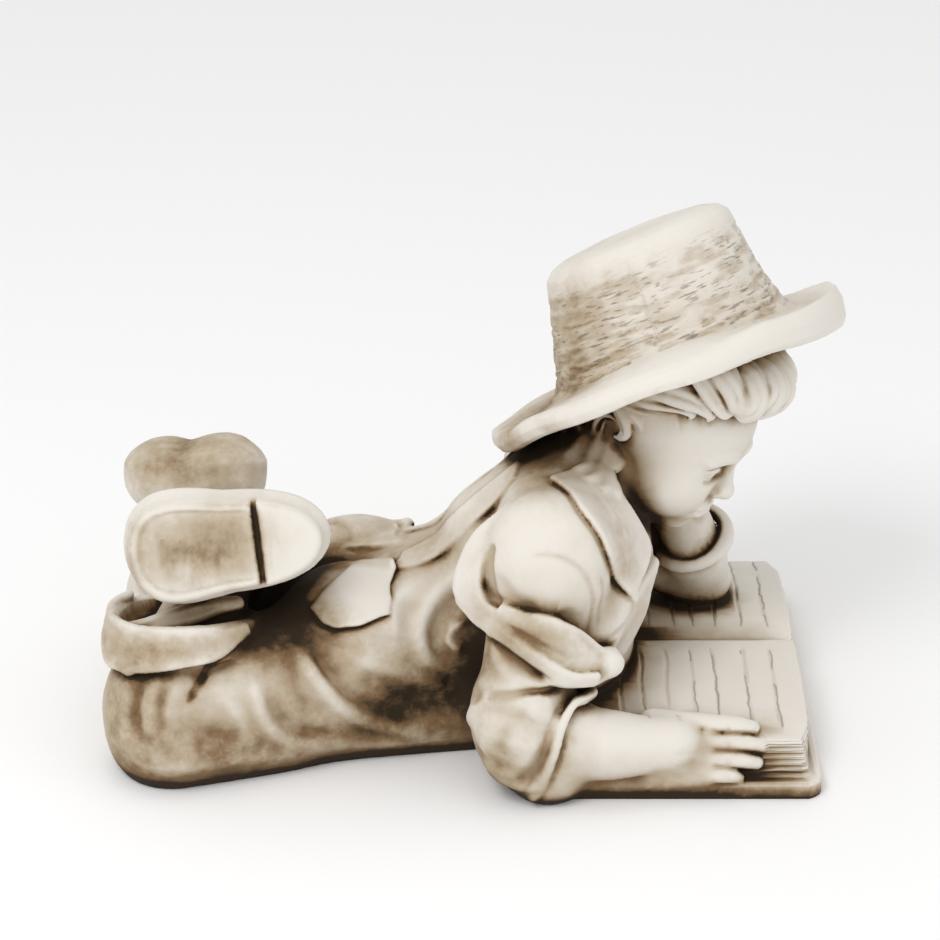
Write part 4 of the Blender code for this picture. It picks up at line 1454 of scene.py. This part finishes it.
def softened(mesh, value, rounds=2):
    # Each point's value drawn halfway to the mean of its neighbours, so that no single point stands out.
    pairs = np.empty(len(mesh.edges) * 2, np.int32)
    mesh.edges.foreach_get("vertices", pairs)
    a, b = pairs.reshape(-1, 2).T
    count = np.maximum(np.bincount(a, minlength=len(value)) + np.bincount(b, minlength=len(value)), 1)
    for _ in range(rounds):
        total = np.bincount(a, value[b], len(value)) + np.bincount(b, value[a], len(value))
        value = 0.5 * value + 0.5 * total / count
    return value


def storeValues(mesh, values):
    for name, value in values.items():
        if name not in ("round", "rise"):
            value = softened(mesh, value, 1)
        layer = mesh.attributes.new(name, "FLOAT", "POINT")
        layer.data.foreach_set("value", np.ascontiguousarray(value, np.float32))


def buildCasting():
    s = claySettings
    factor = 1.0
    fine, plain = s["fineStep"] * factor, s["plainStep"] * factor
    low, high = s["region"]
    fineLow, fineHigh = s["headRegion"]
    axes = [gridAxis(low[i], high[i], fineLow[i], fineHigh[i], fine, plain) for i in range(3)]
    field = fieldOnGrid(axes)
    report(f"grid of {field.size / 1e6:.0f} million points")
    vertices, faces = surfaceOf(field, axes)
    report(f"surface of {len(vertices)} points")
    mesh = meshFrom("casting", vertices, faces)
    casting = bpy.data.objects.new("readingBoyCasting", mesh)
    bpy.context.collection.objects.link(casting)
    thin = casting.modifiers.new("thin", "DECIMATE")
    thin.ratio = min(1.0, s["triangles"] / (2 * len(faces)))
    thin.use_collapse_triangulate = True
    bpy.context.view_layer.update()
    final = bpy.data.meshes.new_from_object(casting.evaluated_get(bpy.context.evaluated_depsgraph_get()))
    casting.modifiers.clear()
    casting.data = final
    report(f"thinned to {len(final.polygons)} triangles")
    points = np.empty(len(final.vertices) * 3, np.float32)
    final.vertices.foreach_get("co", points)
    points = settle(points.reshape(-1, 3).astype(float))
    normals, steep = fieldNormals(points)
    storeValues(final, patinaAndShadeValues(field, axes, points, normals))
    # the stored values paint shade into hollows and creases as well as holding the patina
    report("settled on the surface, with its patina")
    final.vertices.foreach_set("co", (points * metre).astype(np.float32).ravel())
    final.update()
    for polygon in final.polygons:
        polygon.use_smooth = True
    return casting


# Stone: cast stone, pale where it is rubbed, brown where dirt was left in it and where shade is painted into
# its hollows and creases

stoneSettings = {
    # the warm, brown and dark tones stand for dirt and for painted shade, dark in the deepest hollows
    "pale": (0.762, 0.722, 0.658), "warm": (0.445, 0.36, 0.25), "brown": (0.205, 0.123, 0.058),
    "dark": (0.030, 0.018, 0.008), "moss": (0.16, 0.16, 0.05), "cut": (0.12, 0.085, 0.05),
    "warmDirtAndShade": (-0.34, 0.50), "brownDirtAndShade": (0.34, 0.92), "darkDirtAndShade": (0.80, 1.45),  # where each sets in, on the scale of dirt and painted shade
    "rubbed": 0.55, "cutShare": 0.62,  # how much of the rubbed and the cut colour shows
    "grainSize": 420.0, "grainDepth": 0.16, "roughness": 0.62, "specular": 0.25,
}
chiselSettings = {"stroke": (0.065, 0.40), "patch": (0.022, 0.035)}  # noise scale round and up the crown


class Nodes:
    # Adds nodes to a tree, each set and joined to what it takes in.
    def __init__(self, tree):
        self.tree = tree
        self.count = 0

    def add(self, kind, settings=None, **inputs):
        node = self.tree.nodes.new(kind)
        node.location = (200 * (self.count % 12), -220 * (self.count // 12))
        self.count += 1
        for key, value in (settings or {}).items():
            setattr(node, key, value)
        for key, value in inputs.items():
            byPlace = key[0] == "i" and key[1:].isdigit()  # i0 is the first socket
            socket = node.inputs[int(key[1:]) if byPlace else key.replace("_", " ")]
            if hasattr(value, "is_output"):
                self.tree.links.new(value, socket)
            else:
                socket.default_value = value
        return node

    def math(self, operation, a, b=0.0, clamp=False):
        return self.add("ShaderNodeMath", {"operation": operation, "use_clamp": clamp}, i0=a, i1=b).outputs[0]

    def mix(self, share, a, b, blend="MIX"):
        kind = {"data_type": "RGBA", "blend_type": blend}
        return self.add("ShaderNodeMix", kind, i0=share, i6=a, i7=b).outputs[2]

    def noise(self, vector, scale, detail=4.0, rough=0.55):
        node = self.add("ShaderNodeTexNoise", Vector=vector, Scale=scale, Detail=detail, Roughness=rough)
        return node.outputs["Fac"]

    def ramp(self, value, low, high):
        kind = {"interpolation_type": "SMOOTHSTEP"}
        return self.add("ShaderNodeMapRange", kind, i0=value, i1=low, i2=high, i3=0.0, i4=1.0).outputs[0]

    def flat(self, across, up):
        return self.add("ShaderNodeCombineXYZ", i0=across, i1=up).outputs[0]

    def band(self, value, middle, half, soft):
        # One where the value is within half of the middle, falling to nought over soft.
        return self.ramp(self.math("ABSOLUTE", self.math("SUBTRACT", value, middle)), half + soft, half)


def newGroup(name, inputs, outputs):
    # A shader node group with its sockets, the helper that fills it, its source and its sink.
    group = bpy.data.node_groups.new(name, "ShaderNodeTree")
    for direction, sockets in (("INPUT", inputs), ("OUTPUT", outputs)):
        for socket in sockets:
            kind = "NodeSocketVector" if socket == "Place" else "NodeSocketFloat"
            group.interface.new_socket(socket, in_out=direction, socket_type=kind)
    n = Nodes(group)
    source = n.add("NodeGroupInput").outputs
    return group, n, source, n.add("NodeGroupOutput").inputs


def wearAndShadeGroup():
    # Masks of dirt and of painted shade in hollows and creases, and of wear, from the stored values, broken
    # up by noise.
    s = stoneSettings
    inputs = ("Hollow", "Crease", "Edge", "Stain", "Bulge", "Dirt Amount", "Place")
    group, n, source, sink = newGroup("stoneWearAndShade", inputs, ("Warm", "Brown", "Dark", "Rubbed"))
    broad = n.noise(source["Place"], 11.0, 5.0, 0.6)
    fine = n.noise(source["Place"], 70.0, 6.0, 0.65)
    cloud = n.math("MULTIPLY", n.math("SUBTRACT", fine, 0.5), 0.7)
    cloud = n.math("ADD", n.math("SUBTRACT", broad, 0.5), cloud)
    patchy = n.math("ADD", n.math("MULTIPLY", cloud, 1.5), 1.0)
    stain = n.math("MULTIPLY", n.math("MULTIPLY", source["Stain"], patchy), 0.85)
    # The hollow and crease terms, and the bulge term where the surface curves in, paint shade; the stain term
    # holds stains and painted shade.
    dirtAndShade = n.math("ADD", n.math("MULTIPLY", source["Hollow"], 0.95), stain)
    dirtAndShade = n.math("ADD", dirtAndShade, n.math("MULTIPLY", source["Crease"], 0.75))
    dirtAndShade = n.math("SUBTRACT", dirtAndShade, n.math("MULTIPLY", source["Edge"], 0.35))
    dirtAndShade = n.math("MULTIPLY", dirtAndShade, source["Dirt Amount"])
    dirtAndShade = n.math("SUBTRACT", dirtAndShade, n.math("MULTIPLY", source["Bulge"], 0.55))
    dirtAndShade = n.math("ADD", dirtAndShade, n.math("MULTIPLY", cloud, 0.46))
    for name, dirtAndShadeRange in (("Warm", "warmDirtAndShade"), ("Brown", "brownDirtAndShade"), ("Dark", "darkDirtAndShade")):
        group.links.new(n.ramp(dirtAndShade, *s[dirtAndShadeRange]), sink[name])
    rubbed = n.math("SUBTRACT", source["Edge"], n.math("MULTIPLY", dirtAndShade, 0.4))
    group.links.new(n.ramp(rubbed, 0.12, 0.6), sink["Rubbed"])
    return group


def grainGroup():
    # Height of the cast grain, with small pits.
    group, n, source, sink = newGroup("stoneGrain", ("Place", "Size"), ("Height",))
    fine = n.noise(source["Place"], source["Size"], 6.0, 0.7)
    soft = n.noise(source["Place"], n.math("MULTIPLY", source["Size"], 0.16), 3.0, 0.5)
    pits = n.ramp(n.noise(source["Place"], n.math("MULTIPLY", source["Size"], 0.5), 2.0, 0.5), 0.30, 0.24)
    height = n.math("ADD", n.math("MULTIPLY", fine, 0.5), n.math("MULTIPLY", soft, 0.9))
    group.links.new(n.math("SUBTRACT", height, n.math("MULTIPLY", pits, 0.5)), sink["Height"])
    return group


def chiselGroup():
    # Short dark strokes round the hat's crown, in patches.
    group, n, source, sink = newGroup("chiselMarks", ("Round", "Rise", "Crown"), ("Mask",))
    strokeAt, patchAt = (
        n.flat(n.math("MULTIPLY", source["Round"], across), n.math("MULTIPLY", source["Rise"], up))
        for across, up in (chiselSettings["stroke"], chiselSettings["patch"])
    )
    stroke = n.ramp(n.noise(strokeAt, 1.0, 3.0, 0.55), 0.54, 0.64)
    patch = n.ramp(n.noise(patchAt, 1.0, 2.0, 0.5), 0.36, 0.56)
    group.links.new(n.math("MULTIPLY", n.math("MULTIPLY", stroke, patch), source["Crown"]), sink["Mask"])
    return group


def rowGroup():
    # The strokes down the pages and the edges of the leaves.
    b = bookSettings
    group, n, source, sink = newGroup("pageRows", ("Place",), ("Rows", "Leaves"))
    axes = n.add("ShaderNodeSeparateXYZ", i0=source["Place"]).outputs
    x, y, z = (n.math("MULTIPLY", axes[i], 1 / metre) for i in range(3))
    sway = n.math("MULTIPLY", n.math("SUBTRACT", n.noise(source["Place"], 50.0, 2.0), 0.5), 7.0)
    breaks = n.ramp(n.noise(source["Place"], 32.0, 1.0), 0.40, 0.46)
    normal = n.add("ShaderNodeNewGeometry").outputs["Normal"]
    facing = n.add("ShaderNodeSeparateXYZ", i0=normal).outputs[2]
    up = n.math("MULTIPLY", n.band(z, 49.0, 8.0, 1.5), n.ramp(facing, 0.75, 0.85))
    total = 0.0
    first, reach = pageLines["start"], pageLines["reach"]
    for name, middle, half in pageLines["sides"]:
        share = n.math("DIVIDE", n.math("SUBTRACT", n.math("ADD", x, sway), first), reach)
        ramp = n.add("ShaderNodeValToRGB", i0=share)
        stops = ramp.color_ramp.elements
        stops[0].position, stops[1].position = 0.0, 1.0
        stops[0].color = stops[1].color = (0, 0, 0, 1)
        for line in pageLines[name]:
            for step, value in ((-1.1, 0.0), (0.0, 1.0), (1.1, 0.0)):
                stop = stops.new((line + step - first) / reach)
                stop.color = (value, value, value, 1)
        rows = n.math("MULTIPLY", ramp.outputs[0], n.band(y, middle, half, 3.0))
        total = n.math("ADD", total, rows)
    group.links.new(n.math("MULTIPLY", n.math("MULTIPLY", total, up), breaks), sink["Rows"])
    # leaves: lines along the slanting sides of the pages
    slant = n.math("MULTIPLY", n.math("SUBTRACT", z, float(b["thick"])), b["slope"] / b["pages"])
    front, near = float(b["front"] - b["margin"]), float(b["middle"] - b["width"] / 2 + b["margin"])
    side = n.band(n.math("SUBTRACT", y, slant), near, 1.2, 1.2)
    side = n.math("MULTIPLY", side, n.band(x, 190.0, 82.0, 2.0))
    ends = n.math("MAXIMUM", n.band(n.math("ADD", x, slant), front, 1.0, 1.0), n.band(x, front, 1.0, 1.0))
    ends = n.math("MULTIPLY", ends, n.band(y, float(b["middle"]), 150.0, 3.0))
    place = n.math("MULTIPLY", n.math("MAXIMUM", side, ends), n.ramp(facing, 0.7, 0.5))
    low = n.math("MULTIPLY", n.ramp(z, b["thick"] + 1.0, b["thick"] + 2.5), n.ramp(z, 50.0, 47.0))
    ripple = n.math("ADD", n.math("MULTIPLY", z, 2.5), n.math("MULTIPLY", sway, 0.6))
    line = n.ramp(n.math("SINE", ripple), 0.2, 0.9)
    group.links.new(n.math("MULTIPLY", n.math("MULTIPLY", line, low), place), sink["Leaves"])
    return group


def castStone():
    s = stoneSettings
    material = bpy.data.materials.new("castStone")
    material.use_nodes = True
    n = Nodes(material.node_tree)
    shader = material.node_tree.nodes["Principled BSDF"]
    place = n.add("ShaderNodeTexCoord").outputs["Object"]

    def stored(*names):
        # The values kept on the mesh, each for the group's socket of that name.
        nodes = {name: n.add("ShaderNodeAttribute", {"attribute_name": name.lower()}) for name in names}
        return {name: node.outputs["Fac"] for name, node in nodes.items()}

    def effect(group, **inputs):
        return n.add("ShaderNodeGroup", {"node_tree": group}, **inputs).outputs

    # The stored hollow, crease and bulge values paint shade into the colour, along with stains and wear.
    worn = stored("Hollow", "Crease", "Edge", "Stain", "Bulge")
    wearAndShade = effect(wearAndShadeGroup(), Place=place, Dirt_Amount=1.0, **worn)
    colour = n.mix(wearAndShade["Warm"], (*s["pale"], 1), (*s["warm"], 1))
    colour = n.mix(wearAndShade["Brown"], colour, (*s["brown"], 1))
    colour = n.mix(wearAndShade["Dark"], colour, (*s["dark"], 1))
    colour = n.mix(stored("Moss")["Moss"], colour, (*s["moss"], 1))
    colour = n.mix(n.math("MULTIPLY", wearAndShade["Rubbed"], s["rubbed"]), colour, (*s["pale"], 1))
    chisel = effect(chiselGroup(), **stored("Round", "Rise", "Crown"))["Mask"]
    rows = effect(rowGroup(), Place=place)
    cut = n.math("MAXIMUM", chisel, n.math("MAXIMUM", rows["Rows"], rows["Leaves"]))
    colour = n.mix(n.math("MULTIPLY", cut, s["cutShare"]), colour, (*s["cut"], 1))
    grain = effect(grainGroup(), Place=place, Size=s["grainSize"])["Height"]
    bump = n.add("ShaderNodeBump", Strength=s["grainDepth"], Distance=0.0012, Height=grain)
    normal = bump.outputs["Normal"]
    bump = n.add("ShaderNodeBump", {"invert": True}, Strength=0.5, Distance=0.0008, Height=cut, Normal=normal)
    rough = n.math("ADD", n.math("MULTIPLY", wearAndShade["Brown"], 0.2), s["roughness"] - 0.06)
    rough = n.math("ADD", rough, n.math("MULTIPLY", n.noise(place, 60.0), 0.12))
    shader.inputs["Specular IOR Level"].default_value = s["specular"]
    links = material.node_tree.links
    links.new(colour, shader.inputs["Base Color"])
    links.new(rough, shader.inputs["Roughness"])
    links.new(bump.outputs["Normal"], shader.inputs["Normal"])
    return material


# Skin: the casting's slight unevenness, along its normals

skinSettings = {"Depth": 0.9, "Scale": 120.0, "Seed": 3.0}  # depth in pose millimetres


def skinTree():
    tree = bpy.data.node_groups.new("castSkin", "GeometryNodeTree")
    tree.interface.new_socket("Geometry", in_out="INPUT", socket_type="NodeSocketGeometry")
    for name in ("Depth", "Scale", "Seed"):
        tree.interface.new_socket(name, in_out="INPUT", socket_type="NodeSocketFloat")
    tree.interface.new_socket("Material", in_out="INPUT", socket_type="NodeSocketMaterial")
    tree.interface.new_socket("Geometry", in_out="OUTPUT", socket_type="NodeSocketGeometry")
    n = Nodes(tree)
    source = n.add("NodeGroupInput").outputs
    sizes = {"W": source["Seed"], "Scale": source["Scale"], "Detail": 3.0}
    noise = n.add("ShaderNodeTexNoise", {"noise_dimensions": "4D"}, **sizes).outputs["Fac"]
    height = n.math("MULTIPLY", n.math("SUBTRACT", noise, 0.5), source["Depth"])
    normal = n.add("GeometryNodeInputNormal").outputs["Normal"]
    offset = n.add("ShaderNodeVectorMath", {"operation": "SCALE"}, i0=normal, Scale=height).outputs["Vector"]
    uneven = n.add("GeometryNodeSetPosition", None, Geometry=source["Geometry"], Offset=offset).outputs[0]
    solid = n.add("GeometryNodeRealizeInstances", None, Geometry=uneven).outputs[0]
    stone = n.add("GeometryNodeSetMaterial", None, Geometry=solid, Material=source["Material"]).outputs[0]
    tree.links.new(stone, n.add("NodeGroupOutput").inputs[0])
    return tree


def roughenSkin(piece, material):
    # The tree's result becomes the piece's own mesh, with the stored values and the material.
    given = dict(skinSettings, Depth=skinSettings["Depth"] * metre, Material=material)
    skin = piece.modifiers.new("skin", "NODES")
    skin.node_group = skinTree()
    for item in skin.node_group.interface.items_tree:
        if item.in_out == "INPUT" and item.name in given:
            skin[item.identifier] = given[item.name]
    bpy.context.view_layer.update()
    graph = bpy.context.evaluated_depsgraph_get()
    rough = bpy.data.meshes.new_from_object(
        piece.evaluated_get(graph), preserve_all_data_layers=True, depsgraph=graph
    )
    piece.modifiers.clear()
    piece.data = rough
    report("skin roughened")


# Floor, light and camera

stageSettings = {
    "floorHalf": 6, "floorWhite": 0.96, "floorRoughness": 0.9, "world": 0.8,
    "lights": (("key", (-0.9, -1.4, 2.3), 1.0, 25), ("fill", (1.9, -1.2, 1.0), 1.6, 4)),  # place, size, power
    "lightAim": (0, 0, 0.15),
}
cameraSettings = {"aim": (0.0, 0.011, 0.212), "elevation": 27.0, "distance": 2.3, "lens": 108.75}


def setStage():
    s = stageSettings
    half, white = s["floorHalf"], s["floorWhite"]
    corners = [(-half, -half, 0), (half, -half, 0), (half, half, 0), (-half, half, 0)]
    floor = bpy.data.meshes.new("floor")
    floor.from_pydata(corners, [], [(0, 1, 2, 3)])
    floorObject = bpy.data.objects.new("floor", floor)
    bpy.context.collection.objects.link(floorObject)
    paint = bpy.data.materials.new("floorPaint")
    paint.use_nodes = True
    shader = paint.node_tree.nodes["Principled BSDF"].inputs
    shader["Base Color"].default_value = (white, white, white, 1)
    shader["Roughness"].default_value = s["floorRoughness"]
    floor.materials.append(paint)
    world = bpy.data.worlds.new("studio")
    bpy.context.scene.world = world
    world.use_nodes = True
    sky = world.node_tree.nodes["Background"].inputs
    sky["Color"].default_value = (1, 1, 1, 1)
    sky["Strength"].default_value = s["world"]
    bpy.context.scene.view_settings.view_transform = "Standard"
    for name, place, size, power in s["lights"]:
        light = bpy.data.lights.new(name, "AREA")
        light.size = size
        light.energy = power
        lamp = bpy.data.objects.new(name, light)
        bpy.context.collection.objects.link(lamp)
        lamp.location = place
        way = Vector(s["lightAim"]) - Vector(place)
        lamp.rotation_euler = way.to_track_quat("-Z", "Y").to_euler()


def setCamera():
    c = cameraSettings
    tilt = math.radians(c["elevation"])
    back = Vector((0, -math.cos(tilt), math.sin(tilt)))
    camera = bpy.data.cameras.new("camera")
    camera.lens = c["lens"]
    holder = bpy.data.objects.new("camera", camera)
    bpy.context.collection.objects.link(holder)
    holder.location = Vector(c["aim"]) + back * c["distance"]
    holder.rotation_euler = (-back).to_track_quat("-Z", "Y").to_euler()
    bpy.context.scene.camera = holder


modelCasting()
casting = buildCasting()
roughenSkin(casting, castStone())
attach(casting, "root")
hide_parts("reading_boy_statue")
setStage()
setCamera()
